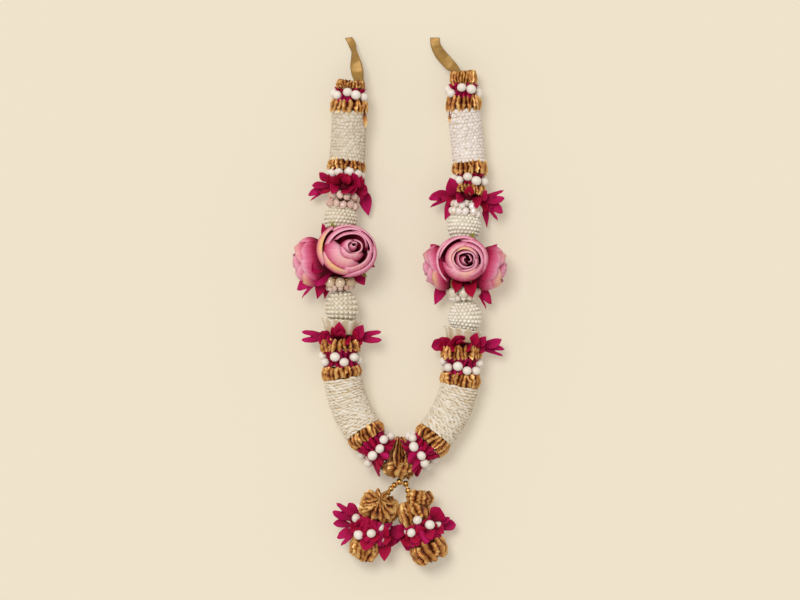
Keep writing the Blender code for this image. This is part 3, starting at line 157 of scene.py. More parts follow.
class Graph:
    """A node tree that is filled one node at a time."""

    def __init__(self, tree: bpy.types.NodeTree) -> None:
        self.tree = tree

    def node(
        self,
        kind: str,
        settings: dict[str, object] | None = None,
        inputs: dict[str | int, object] | None = None,
    ) -> bpy.types.Node:
        """Add one node.

        Args:
            kind: The node's type.
            settings: Its own settings; "stops" holds the stops of a colour ramp.
            inputs: Values or links for its sockets, by name or number.

        Returns:
            The new node.
        """
        node = self.tree.nodes.new(kind)
        for name, value in (settings or {}).items():
            if name == "stops":
                self._set_stops(node, value)
            else:
                setattr(node, name, value)
        for key, value in (inputs or {}).items():
            if isinstance(value, Value):
                self.tree.links.new(value.socket, node.inputs[key])
            elif isinstance(value, bpy.types.NodeSocket):
                self.tree.links.new(value, node.inputs[key])
            else:
                node.inputs[key].default_value = value
        return node

    @staticmethod
    def _set_stops(node: bpy.types.Node, stops: Sequence[tuple[float, Colour]]) -> None:
        """Set the stops of a colour ramp, in display colours."""
        elements = node.color_ramp.elements
        while len(elements) < len(stops):
            elements.new(0.5)
        for element, (place, colour) in zip(elements, stops):
            element.position = place
            element.color = linear(colour)

    def value(self, kind: str, output: str | int = 0, **words: object) -> Value:
        """Add a node and return one of its outputs as a value.

        Args:
            kind: The node's type.
            output: Name or number of the output.
            **words: The node's settings and inputs.

        Returns:
            The output.
        """
        return Value(self, self.node(kind, **words).outputs[output])

    def attribute(self, name: str) -> Value:
        """Return a number that the mesh keeps at each point."""
        return self.value("ShaderNodeAttribute", "Fac", settings={"attribute_name": name})

    def place(self) -> bpy.types.NodeSocket:
        """Return the position in the object's own space."""
        return self.node("ShaderNodeTexCoord").outputs["Object"]

    def noise(self, scale: float, detail: float = 2.0, vector: object = None) -> Value:
        """Return smooth noise over the object's space or a given vector."""
        inputs = {"Vector": vector or self.place(), "Scale": scale, "Detail": detail}
        return self.value("ShaderNodeTexNoise", "Fac", inputs=inputs)

    def pattern(self, across: float, second: tuple[str, float], tint: float, detail: float) -> Value:
        """Return noise drawn out along a sheet and different on each one.

        Args:
            across: How fast it changes across the sheet.
            second: The number that runs along the sheet, and how fast it changes with it.
            tint: How far apart the patterns of two sheets are.
            detail: Detail of the noise.

        Returns:
            The noise.
        """
        scales = (("across", across), second, ("tint", tint))
        spots = {i: self.attribute(name) * scale for i, (name, scale) in enumerate(scales)}
        vector = self.node("ShaderNodeCombineXYZ", inputs=spots).outputs[0]
        return self.noise(1.0, detail, vector)

    def ramp(self, factor: Value, stops: Sequence[tuple[float, Colour]]) -> bpy.types.NodeSocket:
        """Return colours from a ramp."""
        node = self.node("ShaderNodeValToRGB", {"stops": stops}, {"Fac": factor})
        return node.outputs["Color"]

    def mix(self, factor: object, first: object, second: object) -> bpy.types.NodeSocket:
        """Return a blend of two colours."""
        inputs = {"Factor": factor, 6: first, 7: second}
        node = self.node("ShaderNodeMix", {"data_type": "RGBA", "clamp_factor": True}, inputs)
        return node.outputs[2]


# Finishes


@dataclass(frozen=True)
class Finish:
    """What every finish shares: its name and the constants of its shader."""

    name: str
    roughness: float = 0.6
    metallic: float = 0.0
    sheen: float = 0.0
    coat: float = 0.0
    bump: float = 0.2
    bump_height: float = 0.3
    specular: float = 0.5

    def colour(self, graph: Graph) -> object:
        """Return the base colour."""
        raise NotImplementedError

    def relief(self, graph: Graph) -> Value:
        """Return the fine height of the surface."""
        return graph.noise(2500.0)

    def extras(self, graph: Graph) -> dict[str, object]:
        """Return further values for the shader's sockets."""
        return {}

    def material(self) -> bpy.types.Material:
        """Return the material, made when it is first asked for."""
        name = f"{self.name}_finish"
        known = bpy.data.materials.get(name)
        if known:
            return known
        material = bpy.data.materials.new(name)
        material.use_nodes = True
        material.node_tree.nodes.clear()
        graph = Graph(material.node_tree)
        heights = {
            "Strength": self.bump,
            "Distance": self.bump_height * MM,
            "Height": self.relief(graph),
        }
        bumped = graph.node("ShaderNodeBump", inputs=heights)
        inputs = {
            "Base Color": self.colour(graph),
            "Roughness": self.roughness,
            "Metallic": self.metallic,
            "Sheen Weight": self.sheen,
            "Coat Weight": self.coat,
            "Specular IOR Level": self.specular,
            "Normal": bumped.outputs[0],
            **self.extras(graph),
        }
        shader = graph.node("ShaderNodeBsdfPrincipled", inputs=inputs)
        graph.node("ShaderNodeOutputMaterial", inputs={"Surface": shader.outputs[0]})
        return material


@dataclass(frozen=True)
class Tissue(Finish):
    """Crinkled metallic tissue, with painted shade in its creases and painted highlights on its folds.
    """

    dark: Colour = (70, 16, 8)
    shade: Colour = (126, 60, 22)
    middle: Colour = (188, 122, 52)
    light: Colour = (252, 212, 136)

    def colour(self, graph: Graph) -> object:
        """Return the colour from painted shade in the creases to painted highlights on the folds, with
        noise that paints light and shade in pleats and crinkles.
        """
        pleat_light_and_shade = graph.pattern(80.0, ("down", 3.0), 30.0, 3.0)
        rise = graph.attribute("rise") * 0.85 + pleat_light_and_shade * 0.4 + graph.noise(420.0) * 0.2 - 0.3
        stops = [(0.08, self.dark), (0.26, self.shade), (0.46, self.middle), (0.9, self.light)]
        return graph.ramp(rise, stops)

    def relief(self, graph: Graph) -> Value:
        """Return crinkles over a fine weave."""
        return graph.noise(700.0, 4.0) + graph.noise(3800.0, 0.0) * 0.3

    def extras(self, graph: Graph) -> dict[str, object]:
        """Return a roughness that changes with the crinkles."""
        return {"Roughness": graph.noise(500.0) * 0.3 + (self.roughness - 0.15)}


@dataclass(frozen=True)
class Satin(Finish):
    """Plain satin ribbon with fine threads."""

    dark: Colour = (84, 54, 20)
    light: Colour = (166, 126, 60)

    def colour(self, graph: Graph) -> object:
        """Return a colour from painted shade at the edges to a painted highlight where the ribbon faces
        up, broken up by noise.
        """
        shade = graph.attribute("rise") * 0.6 + graph.noise(120.0) * 0.55
        return graph.ramp(shade, [(0.2, self.dark), (0.85, self.light)])

    def relief(self, graph: Graph) -> Value:
        """Return the ribbon's threads."""
        return graph.noise(3000.0, 1.0)


@dataclass(frozen=True)
class PetalCloth(Finish):
    """Velvety cloth petals, darker towards the root, with faint veins."""

    warm: tuple[Colour, Colour, Colour] = ((74, 0, 18), (154, 0, 38), (178, 6, 58))
    cool: tuple[Colour, Colour, Colour] = ((92, 0, 32), (162, 4, 70), (194, 24, 102))

    def colour(self, graph: Graph) -> object:
        """Return the colour from root to tip, varied by petal and by vein."""
        veins = graph.pattern(26.0, ("rise", 2.5), 40.0, 2.0)
        shade = graph.attribute("rise") * 0.8 + veins * 0.45 - 0.14
        ramps = [
            graph.ramp(shade, list(zip((0.1, 0.5, 0.95), colours)))
            for colours in (self.warm, self.cool)
        ]
        return graph.mix(graph.attribute("tint"), *ramps)

    def relief(self, graph: Graph) -> Value:
        """Return the weave of the cloth."""
        return graph.noise(2600.0, 1.0) + graph.noise(500.0) * 0.5


@dataclass(frozen=True)
class RoseCloth(Finish):
    """Rose petals, some with a printed yellow edge, in painted shade at the root and a painted
    highlight at the rim.
    """

    root: Colour = (104, 0, 32)
    lower: Colour = (172, 22, 70)
    upper: Colour = (210, 98, 132)
    rim: Colour = (242, 176, 194)
    edge: Colour = (240, 192, 108)

    def colour(self, graph: Graph) -> object:
        """Return the colour from painted shade at the root to a painted highlight at the rim, with
        streaks and a yellow edge.
        """
        streaks = graph.pattern(16.0, ("rise", 1.6), 60.0, 3.0)
        shade = graph.attribute("rise") * 1.5 + streaks * 0.26 + graph.attribute("tint") * 0.1 - 0.7
        stops = [(0.1, self.root), (0.4, self.lower), (0.68, self.upper), (0.98, self.rim)]
        pink = graph.ramp(shade, stops)
        yellow = graph.attribute("blush") * (streaks * 0.7 + 0.55)
        return graph.mix(yellow, pink, linear(self.edge))

    def relief(self, graph: Graph) -> Value:
        """Return a fine weave over soft wrinkles."""
        return graph.noise(2200.0, 1.0) * 0.6 + graph.noise(260.0, 2.0)


@dataclass(frozen=True)
class Speckled(Finish):
    """A finish of one colour with soft variation between two shades."""

    first: Colour = (228, 219, 205)
    second: Colour = (212, 200, 182)
    scale: float = 180.0
    fine: float = 2500.0

    def colour(self, graph: Graph) -> object:
        """Return the two shades mixed by noise and by piece."""
        share = graph.noise(self.scale) + graph.attribute("tint") * 0.6 - 0.3
        return graph.ramp(share, [(0.2, self.first), (0.8, self.second)])

    def relief(self, graph: Graph) -> Value:
        """Return a fine grain."""
        return graph.noise(self.fine, 1.0)


@dataclass(frozen=True)
class Buds(Speckled):
    """Cloth buds, pale at their tops, with painted shade in a tan colour where they sink into the
    sleeve.
    """

    deep: Colour = (190, 160, 112)

    def colour(self, graph: Graph) -> object:
        """Return pale cloth over painted shade at the root."""
        pale = super().colour(graph)
        return graph.mix(graph.attribute("rise"), linear(self.deep), pale)


@dataclass(frozen=True)
class Clear(Speckled):
    """Milky clear drops."""

    transmission: float = 0.15

    def extras(self, graph: Graph) -> dict[str, object]:
        """Return how much light passes through."""
        return {"Transmission Weight": self.transmission, "IOR": 1.45}


# The dark and shade colours of the tissues are painted shade in the creases, and the light colour is a
# painted highlight on the folds.
GOLD_TISSUE = Tissue("gold_tissue", 0.36, 0.5, bump=0.6, bump_height=0.6)
DEEP_TISSUE = Tissue(
    "deep_gold_tissue", 0.36, 0.5, bump=0.6, bump_height=0.6, dark=(48, 10, 4), shade=(100, 44, 14),
    middle=(168, 102, 42), light=(244, 200, 122),
)
# The ribbon's dark colour is painted shade at its edges and its light colour a painted highlight where
# it faces up.
GOLD_RIBBON = Satin("gold_ribbon", 0.45, 0.35, bump=0.2, bump_height=0.2)
GOLD_BEAD = Speckled("gold_bead", 0.24, 0.9, first=(240, 194, 116), second=(204, 146, 70))
MAGENTA_CLOTH = PetalCloth("magenta_cloth", 0.7, bump=0.3, specular=0.15)
WHITE_BEAD = Speckled("white_bead", 0.45, bump=0.05, first=(242, 234, 222), second=(230, 219, 204))
# The deep colours of the bud and strip cloths are painted shade where the buds sink into their sleeves.
BUD_CLOTH = Buds(
    "bud_cloth", 0.75, bump=0.25, specular=0.2, first=(222, 210, 192), second=(206, 192, 170),
    deep=(206, 190, 164),
)
PALE_BUD_CLOTH = Buds(
    "pale_bud_cloth", 0.75, bump=0.25, specular=0.2, first=(240, 230, 222), second=(226, 214, 204),
    deep=(222, 207, 194),
)
STRIP_CLOTH = Buds(
    "strip_cloth", 0.75, bump=0.25, specular=0.2, first=(237, 229, 214), second=(220, 207, 184),
    deep=(204, 181, 144),
)
BUD_SLEEVE = Speckled("bud_sleeve", 0.8, bump=0.3, first=(218, 202, 174), second=(206, 189, 158))
STRIP_SLEEVE = Speckled(
    "strip_sleeve", 0.8, bump=0.3, first=(224, 198, 154), second=(206, 172, 120)
)
PEARL = Speckled("pearl", 0.25, coat=0.4, bump=0.03, first=(232, 223, 202), second=(216, 203, 178))
PALE_PEARL = Speckled(
    "pale_pearl", 0.25, coat=0.4, bump=0.03, first=(243, 237, 223), second=(228, 218, 200)
)
PEARL_BASE = Speckled("pearl_base", 0.5, bump=0.1, first=(232, 221, 196), second=(218, 205, 176))
# The cup is painted pale at its rim as a painted highlight and darker towards its foot as painted
# shade, and its second colour paints light and shade along its flutes.
CUP_SHELL = Buds(
    "cup_shell", 0.3, coat=0.4, bump=0.05, first=(250, 243, 226), second=(208, 190, 158),
    deep=(184, 158, 118),
)
CRYSTAL = Clear("crystal", 0.16, coat=0.3, bump=0.02, first=(255, 247, 238), second=(246, 226, 204))
DUSKY_CRYSTAL = Clear(
    "dusky_crystal", 0.1, coat=0.5, bump=0.02, first=(246, 218, 202), second=(214, 168, 150)
)
DUSKY_PEARL = Speckled(
    "dusky_pearl", 0.12, coat=0.6, bump=0.02, first=(234, 212, 182), second=(200, 170, 136)
)
DUSKY_BASE = Speckled("dusky_base", 0.6, bump=0.1, first=(132, 70, 50), second=(96, 42, 36))
ROSE_CLOTH = RoseCloth("rose_cloth", 0.66, bump=0.25, specular=0.25)
SEPAL_CLOTH = PetalCloth(
    "sepal_cloth", 0.7, bump=0.25, warm=((90, 80, 30), (132, 124, 52), (156, 146, 66)),
    cool=((104, 104, 40), (150, 156, 66), (182, 188, 92)),
)
CORD_FIBRE = Speckled("cord_fibre", 0.9, bump=0.5, first=(206, 192, 160), second=(170, 152, 116))
THREAD = Speckled("thread", 0.7, bump=0.2, first=(150, 40, 60), second=(120, 20, 40))


# Meshes


class Shells:
    """Thin sheets and closed bodies that are gathered into one mesh, with numbers at its points."""

    NAMES = ("rise", "across", "down", "tint", "blush")

    def __init__(self) -> None:
        self.points: list[Array] = []
        self.faces: list[Array] = []
        self.numbers: dict[str, list[Array]] = {name: [] for name in self.NAMES}
        self.slots: list[int] = []
        self.count = 0

    def _add_points(self, points: Array, numbers: dict[str, Array | float]) -> Array:
        """Add a grid of points with their numbers, and return their indices."""
        shape = points.shape[:-1]
        flat = points.reshape(-1, 3)
        self.points.append(flat)
        for name in self.NAMES:
            self.numbers[name].append(np.broadcast_to(numbers.get(name, 0.0), shape).ravel())
        index = np.arange(self.count, self.count + len(flat)).reshape(shape)
        self.count += len(flat)
        return index

    def _add_faces(self, faces: Array, slot: int) -> None:
        """Add four-sided faces with a material slot."""
        self.faces.append(faces.reshape(-1, 4))
        self.slots += [slot] * (faces.size // 4)

    def sheet(
        self, grid: Array, thickness: float, wrap: bool = False, slot: int = 0, **numbers: object
    ) -> None:
        """Add a sheet of some thickness that is closed round its rim.

        Args:
            grid: Rows of points, in metres.
            thickness: Thickness of the sheet in millimetres.
            wrap: Whether the last column joins the first.
            slot: Material slot.
            **numbers: Numbers for the points, each one value or one for each point.
        """
        around = np.roll(grid, -1, 1) - np.roll(grid, 1, 1) if wrap else np.gradient(grid, axis=1)
        normal = unit(np.cross(around, np.gradient(grid, axis=0))) * (thickness * MM / 2)
        top = self._add_points(grid + normal, numbers)
        low = self._add_points(grid - normal, numbers)
        here = slice(None) if wrap else slice(None, -1)
        ahead = np.roll(top, -1, 1)[:, here]
        ahead_low = np.roll(low, -1, 1)[:, here]
        top_here, low_here = top[:, here], low[:, here]
        quads = [
            (top_here[:-1], ahead[:-1], ahead[1:], top_here[1:]),
            (low_here[:-1], low_here[1:], ahead_low[1:], ahead_low[:-1]),
            (ahead[0], top_here[0], low_here[0], ahead_low[0]),
            (top_here[-1], ahead[-1], ahead_low[-1], low_here[-1]),
        ]
        if not wrap:
            quads.append((top[:-1, 0], top[1:, 0], low[1:, 0], low[:-1, 0]))
            quads.append((top[1:, -1], top[:-1, -1], low[:-1, -1], low[1:, -1]))
        for quad in quads:
            self._add_faces(np.stack(quad, -1), slot)

    def body(self, grid: Array, **numbers: object) -> None:
        """Add a closed ring-shaped body whose rows and columns both join up."""
        index = self._add_points(grid, numbers)
        ahead = np.roll(index, -1, 1)
        quads = (index, ahead, np.roll(ahead, -1, 0), np.roll(index, -1, 0))
        self._add_faces(np.stack(quads, -1), 0)

    def piece(
        self, name: str, materials: Sequence[bpy.types.Material], smooth: bool = True
    ) -> Item:
        """Return the gathered mesh as one object.

        Args:
            name: Name of the object.
            materials: Its materials, by slot.
            smooth: Whether it is shaded smooth, or faceted as crisp tissue is.

        Returns:
            The object, in the scene.
        """
        mesh = bpy.data.meshes.new(name)
        points = np.concatenate(self.points)
        points[:, 2] = np.maximum(points[:, 2], 0.0)
        mesh.from_pydata(points.tolist(), [], np.concatenate(self.faces).tolist())
        for label in self.NAMES:
            attribute = mesh.attributes.new(label, "FLOAT", "POINT")
            attribute.data.foreach_set("value", np.concatenate(self.numbers[label]).astype("f"))
        for material in materials:
            mesh.materials.append(material)
        mesh.polygons.foreach_set("material_index", self.slots)
        if smooth:
            mesh.shade_smooth()
        mesh.update()
        return link(name, mesh)


def link(name: str, mesh: bpy.types.Mesh) -> Item:
    """Add a mesh to the scene as an object."""
    item = bpy.data.objects.new(name, mesh)
    bpy.context.scene.collection.objects.link(item)
    return item


def keep_above_table(mesh: bpy.types.Mesh) -> None:
    """Lift the points of a mesh that would lie below the table onto it."""
    spots = np.empty(len(mesh.vertices) * 3, "f")
    mesh.vertices.foreach_get("co", spots)
    spots[2::3] = np.maximum(spots[2::3], 0.0)
    mesh.vertices.foreach_set("co", spots)


def seat(piece: Item, node: str) -> Item:
    """Let a piece ride on the garland and the solid that it stands for."""
    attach(piece, BODY)
    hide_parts(node)
    LOG.info("%s: %d faces", piece.name, len(piece.data.polygons))
    return piece


def join(name: str, pieces: Sequence[Item]) -> Item:
    """Join pieces into the first of them."""
    first = pieces[0]
    with bpy.context.temp_override(
        active_object=first, object=first, selected_editable_objects=list(pieces)
    ):
        bpy.ops.object.join()
    first.name = name
    first.data.name = name
    return first


class Strand:
    """A smooth route through chosen points, with a frame at each distance along it.

    Each span between two points has some steps, and the way along is taken over a reach to
    both sides. A spot of the photograph is looked for at a number of places, from an overrun
    before the start.
    """

    STEPS = 12
    REACH = 3.0 * MM
    TRIES = 2400
    OVERRUN = 5.0 * MM

    def __init__(self, route: Sequence[Sequence[float]]) -> None:
        points = np.array(route, float) * MM
        padded = np.vstack([2 * points[0] - points[1], points, 2 * points[-1] - points[-2]])
        u = (np.arange(self.STEPS) / self.STEPS)[:, None]
        spans = []
        for p0, p1, p2, p3 in zip(padded, padded[1:], padded[2:], padded[3:]):
            cubic = (2 * p0 - 5 * p1 + 4 * p2 - p3) * u**2 + (3 * p1 - p0 - 3 * p2 + p3) * u**3
            spans.append(0.5 * (2 * p1 + (p2 - p0) * u + cubic))
        self.line = np.vstack([*spans, points[-1:]])
        steps = np.linalg.norm(np.diff(self.line, axis=0), axis=1)
        self.distances = np.concatenate([[0.0], np.cumsum(steps)])
        self.length = float(self.distances[-1])

    def at(self, distance: Array) -> Array:
        """Return the points at some distances in metres, on straight lines past the ends."""
        d = np.asarray(distance, float)
        inside = [np.interp(d, self.distances, self.line[:, axis]) for axis in range(3)]
        start = unit(self.line[1] - self.line[0]) * np.minimum(d, 0.0)[..., None]
        end = unit(self.line[-1] - self.line[-2]) * np.maximum(d - self.length, 0.0)[..., None]
        return np.stack(inside, -1) + start + end

    def frames(self, distance: Array) -> tuple[Array, Array, Array, Array]:
        """Return the points, the ways along, the ways up and the ways to the side."""
        d = np.asarray(distance, float)
        along = unit(self.at(d + self.REACH) - self.at(d - self.REACH))
        up = unit(np.array([0.0, 0.0, 1.0]) - along * along[..., 2:])
        return self.at(d), along, up, np.cross(up, along)

    def place(self, distance: Array, angle: Array, radius: Array) -> Array:
        """Return points off the route, all in millimetres, with angles from straight up.

        Args:
            distance: Distances along the route.
            angle: Angles in radians, measured from straight up.
            radius: Distances off the route.

        Returns:
            Points in metres.
        """
        distance, angle, radius = np.broadcast_arrays(distance, angle, radius)
        centre, _, up, side = self.frames(distance * MM)
        turned = up * np.cos(angle)[..., None] + side * np.sin(angle)[..., None]
        return centre + turned * radius[..., None] * MM

    def ring(self, distance: Array, angle: Array, radius: Array) -> tuple[Array, Array, Array]:
        """Return points off the route as place does, and the ways out and along at each.

        Args:
            distance: Distances along the route.
            angle: Angles in radians, measured from straight up.
            radius: Distances off the route.

        Returns:
            The points in metres, the ways out from the route, and the ways along it.
        """
        points = self.place(distance, angle, radius)
        centre, along, _, _ = self.frames(np.broadcast_to(distance, points.shape[:-1]) * MM)
        return points, unit(points - centre), along

    def find(self, pixel: Pixel, radius: float) -> tuple[float, float]:
        """Return the distance and angle of a spot that the photograph shows from above.

        Args:
            pixel: The spot in the photograph.
            radius: How far off the route it lies, in millimetres.

        Returns:
            The distance along the route in millimetres and the angle from straight up.
        """
        x = (pixel[0] - ORIGIN_PIXEL[0]) * MM_PER_PIXEL * MM
        y = (ORIGIN_PIXEL[1] - pixel[1]) * MM_PER_PIXEL * MM
        tries = np.linspace(-self.OVERRUN, self.length, self.TRIES)
        centre, _, _, side = self.frames(tries)
        offset = np.array([x, y]) - centre[:, :2]
        best = int(np.argmin(np.linalg.norm(offset, axis=1)))
        across = float(offset[best] @ unit(side[best, :2]))
        share = max(-0.999, min(0.999, across / (radius * MM)))
        return float(tries[best]) / MM, math.asin(share)


# Small pieces that repeat


class UnitShape(Enum):
    """A small shape of size one that is repeated."""

    BEAD = "bead"
    PEARL = "pearl"
    BUD = "bud"
    STRIP = "strip"
    DROP = "drop"


@dataclass(frozen=True)
class UnitPlan:
    """How a repeated shape is turned: segments, rings, and its three half sizes."""

    segments: int
    rings: int
    scale: Triple
    smooth: bool = True


UNIT_PLANS = {
    UnitShape.BEAD: UnitPlan(16, 10, (1.08, 1.0, 1.0)),
    UnitShape.PEARL: UnitPlan(8, 6, (1.0, 1.0, 1.0)),
    UnitShape.BUD: UnitPlan(6, 5, (1.0, 1.0, 1.0)),
    UnitShape.STRIP: UnitPlan(8, 5, (1.0, 1.0, 1.0)),
    UnitShape.DROP: UnitPlan(7, 5, (1.15, 1.0, 1.0), False),
}


def unit_piece(shape: UnitShape) -> Item:
    """Return a small closed shape whose pole is +Z, with its height kept as the number rise."""
    known = bpy.data.objects.get(f"unit_{shape.value}")
    if known:
        return known
    plan = UNIT_PLANS[shape]
    bm = bmesh.new()
    bmesh.ops.create_uvsphere(bm, u_segments=plan.segments, v_segments=plan.rings, radius=1.0)
    mesh = bpy.data.meshes.new(f"unit_{shape.value}")
    # The height is kept as the number rise, which the bud finishes turn into painted shade at the foot.
    rise = []
    for vertex in bm.verts:
        rise.append(0.5 + 0.5 * vertex.co.z)
        if shape is UnitShape.BUD:
            taper = 1.0 - 0.35 * max(vertex.co.z, 0.0)
            vertex.co.x = vertex.co.x * taper + 0.25 * max(vertex.co.z, 0.0)
            vertex.co.y *= taper
        if shape is UnitShape.STRIP:
            vertex.co.z += 0.35 * (1.0 - vertex.co.y**2) - 0.2
        for axis in range(3):
            vertex.co[axis] *= plan.scale[axis]
    bm.to_mesh(mesh)
    bm.free()
    attribute = mesh.attributes.new("rise", "FLOAT", "POINT")
    attribute.data.foreach_set("value", rise)
    if plan.smooth:
        mesh.shade_smooth()
    return bpy.data.objects.new(mesh.name, mesh)


class Beadwork:
    """Small shapes set on points, and a thread where the points are strung, by Geometry Nodes."""

    TREE = "beadwork"
    TINT_SEED = 5
    SOCKETS = {
        "Geometry": "Geometry",
        "Piece": "Object",
        "Thread Radius": "Float",
        "Variation": "Float",
        "Tilt": "Float",
        "Seed": "Int",
        "Material": "Material",
        "Thread Material": "Material",
    }

    def __init__(self, shape: UnitShape, finish: Finish) -> None:
        self.shape = shape
        self.finish = finish
        self.points: list[Array] = []
        self.out: list[Array] = []
        self.along: list[Array] = []
        self.sizes: list[Array] = []
        self.edges: list[tuple[int, int]] = []
        self.count = 0

    def add(
        self, points: Array, out: Array, along: Array, size: Sequence[float], strung: str = ""
    ) -> None:
        """Add points for the shape.

        Args:
            points: Where they are, in metres.
            out: The way that each one's pole faces.
            along: The way that each one's own X faces.
            size: Half sizes in millimetres along X, Y and the pole, for all or for each.
            strung: "open" or "closed" for a thread through the points.
        """
        number = len(points)
        self.points.append(points)
        self.out.append(np.broadcast_to(out, (number, 3)))
        self.along.append(np.broadcast_to(along, (number, 3)))
        self.sizes.append(np.broadcast_to(np.asarray(size, float) * MM, (number, 3)))
        last = number if strung == "closed" else number - 1
        if strung:
            self.edges += [(self.count + i, self.count + (i + 1) % number) for i in range(last)]
        self.count += number

    def make(
        self,
        name: str,
        thread: float = 0.0,
        thread_finish: Finish = THREAD,
        vary: float = 0.0,
        tilt: float = 0.0,
    ) -> Item:
        """Return the repeated shapes as one plain mesh object.

        Args:
            name: Name of the object.
            thread: Radius of the thread in millimetres.
            thread_finish: Finish of the thread.
            vary: Share by which sizes differ.
            tilt: Largest random turn in radians.

        Returns:
            The object, with its modifier applied.
        """
        mesh = bpy.data.meshes.new(name)
        mesh.from_pydata(np.concatenate(self.points).tolist(), self.edges, [])
        for label, rows in (("out", self.out), ("along", self.along), ("size", self.sizes)):
            attribute = mesh.attributes.new(label, "FLOAT_VECTOR", "POINT")
            attribute.data.foreach_set("vector", np.concatenate(rows).astype("f").ravel())
        holder = link(name, mesh)
        modifier = holder.modifiers.new(self.TREE, "NODES")
        modifier.node_group = self._tree()
        values = {
            "Piece": unit_piece(self.shape),
            "Thread Radius": max(thread, 0.01) * MM,
            "Variation": vary,
            "Tilt": tilt,
            "Seed": SEED,
            "Material": self.finish.material(),
            "Thread Material": thread_finish.material(),
        }
        for item in modifier.node_group.interface.items_tree:
            if item.item_type == "SOCKET" and item.in_out == "INPUT" and item.name in values:
                modifier[item.identifier] = values[item.name]
        graph = bpy.context.evaluated_depsgraph_get()
        plain = bpy.data.meshes.new_from_object(holder.evaluated_get(graph))
        holder.modifiers.clear()
        keep_above_table(plain)
        holder.data = plain
        bpy.data.meshes.remove(mesh)
        plain.name = name
        return holder

    def _tree(self) -> bpy.types.NodeTree:
        """Return the node tree that sets shapes on points, made when it is first needed."""
        known = bpy.data.node_groups.get(self.TREE)
        if known:
            return known
        tree = bpy.data.node_groups.new(self.TREE, "GeometryNodeTree")
        for label, kind in self.SOCKETS.items():
            tree.interface.new_socket(label, in_out="INPUT", socket_type=f"NodeSocket{kind}")
        tree.interface.new_socket("Geometry", in_out="OUTPUT", socket_type="NodeSocketGeometry")
        graph = Graph(tree)
        given = graph.node("NodeGroupInput").outputs
        shapes = graph.value("GeometryNodeObjectInfo", "Geometry", inputs={"Object": given["Piece"]})
        tint = graph.value(
            "FunctionNodeRandomValue",
            1,
            settings={"data_type": "FLOAT"},
            inputs={2: 0.0, 3: 1.0, "Seed": self.TINT_SEED},
        )
        tinted = graph.value(
            "GeometryNodeStoreNamedAttribute",
            settings={"data_type": "FLOAT", "domain": "POINT"},
            inputs={"Geometry": given["Geometry"], "Name": "tint", "Value": tint},
        )
        placed = graph.value(
            "GeometryNodeInstanceOnPoints",
            inputs={
                "Points": tinted,
                "Instance": shapes,
                "Rotation": self._turn(graph, given),
                "Scale": self._size(graph, given),
            },
        )
        real = graph.value("GeometryNodeRealizeInstances", inputs={0: placed})
        line = graph.value("GeometryNodeMeshToCurve", inputs={"Mesh": given["Geometry"]})
        circle = graph.value(
            "GeometryNodeCurvePrimitiveCircle",
            inputs={"Resolution": 6, "Radius": given["Thread Radius"]},
        )
        profile = {"Curve": line, "Profile Curve": circle, "Fill Caps": True}
        tube = graph.value("GeometryNodeCurveToMesh", inputs=profile)
        joined = graph.node("GeometryNodeJoinGeometry")
        for shape, finish in ((tube, "Thread Material"), (real, "Material")):
            inputs = {"Geometry": shape, "Material": given[finish]}
            dressed = graph.value("GeometryNodeSetMaterial", inputs=inputs)
            tree.links.new(dressed.socket, joined.inputs[0])
        graph.node("NodeGroupOutput", inputs={0: joined.outputs[0]})
        return tree

    @staticmethod
    def _kept(graph: Graph, label: str) -> Value:
        """Return a vector that each point keeps."""
        settings = {"data_type": "FLOAT_VECTOR"}
        kind = "GeometryNodeInputNamedAttribute"
        return graph.value(kind, "Attribute", settings=settings, inputs={"Name": label})

    def _turn(self, graph: Graph, given: bpy.types.NodeOutputs) -> Value:
        """Return each shape's turn: its pole outwards, its X along, and a random tilt.

        Args:
            graph: The tree's graph.
            given: The tree's own inputs.

        Returns:
            The turn at each point.
        """
        align = "FunctionNodeAlignRotationToVector"
        facing = graph.value(
            align, settings={"axis": "Z"}, inputs={"Vector": self._kept(graph, "out")}
        )
        turned = graph.value(
            align,
            settings={"axis": "X", "pivot_axis": "Z"},
            inputs={"Rotation": facing, "Vector": self._kept(graph, "along")},
        )
        limit = Value(graph, given["Tilt"])
        least, most = (
            graph.value("ShaderNodeCombineXYZ", inputs={axis: angle for axis in range(3)})
            for angle in (0.0 - limit, limit)
        )
        wobble = graph.value(
            "FunctionNodeRandomValue",
            settings={"data_type": "FLOAT_VECTOR"},
            inputs={"Min": least, "Max": most, "Seed": given["Seed"]},
        )
        return graph.value(
            "FunctionNodeRotateRotation",
            settings={"rotation_space": "LOCAL"},
            inputs={"Rotation": turned, "Rotate By": wobble},
        )

    def _size(self, graph: Graph, given: bpy.types.NodeOutputs) -> Value:
        """Return each shape's half sizes, with a random share more or less.

        Args:
            graph: The tree's graph.
            given: The tree's own inputs.

        Returns:
            The half sizes at each point.
        """
        share = Value(graph, given["Variation"])
        grown = graph.value(
            "FunctionNodeRandomValue",
            1,
            settings={"data_type": "FLOAT"},
            inputs={2: 1.0 - share, 3: 1.0 + share, "Seed": given["Seed"]},
        )
        return graph.value(
            "ShaderNodeVectorMath",
            settings={"operation": "SCALE"},
            inputs={0: self._kept(graph, "size"), "Scale": grown},
        )


# Gathered cloth


@dataclass(frozen=True)
class Gather:
    """How a ribbon is gathered round a strand.

    Fields hold the number of folds, their depth, how far they lean over each other, how much
    the two edges wave along the strand, how pointed those edges are, and the radius at the
    start, the middle and the end of the ribbon's width as shares of its radius. No fold comes
    nearer to the strand than the bore.
    """

    folds: int
    depth: float
    lean: float = 0.24
    wave: float = 1.0
    points: float = 0.0
    flare: Triple = (0.9, 1.0, 0.9)
    thickness: float = 0.5
    slant: float = 0.35
    rows: int = 7
    bore: float = 3.4


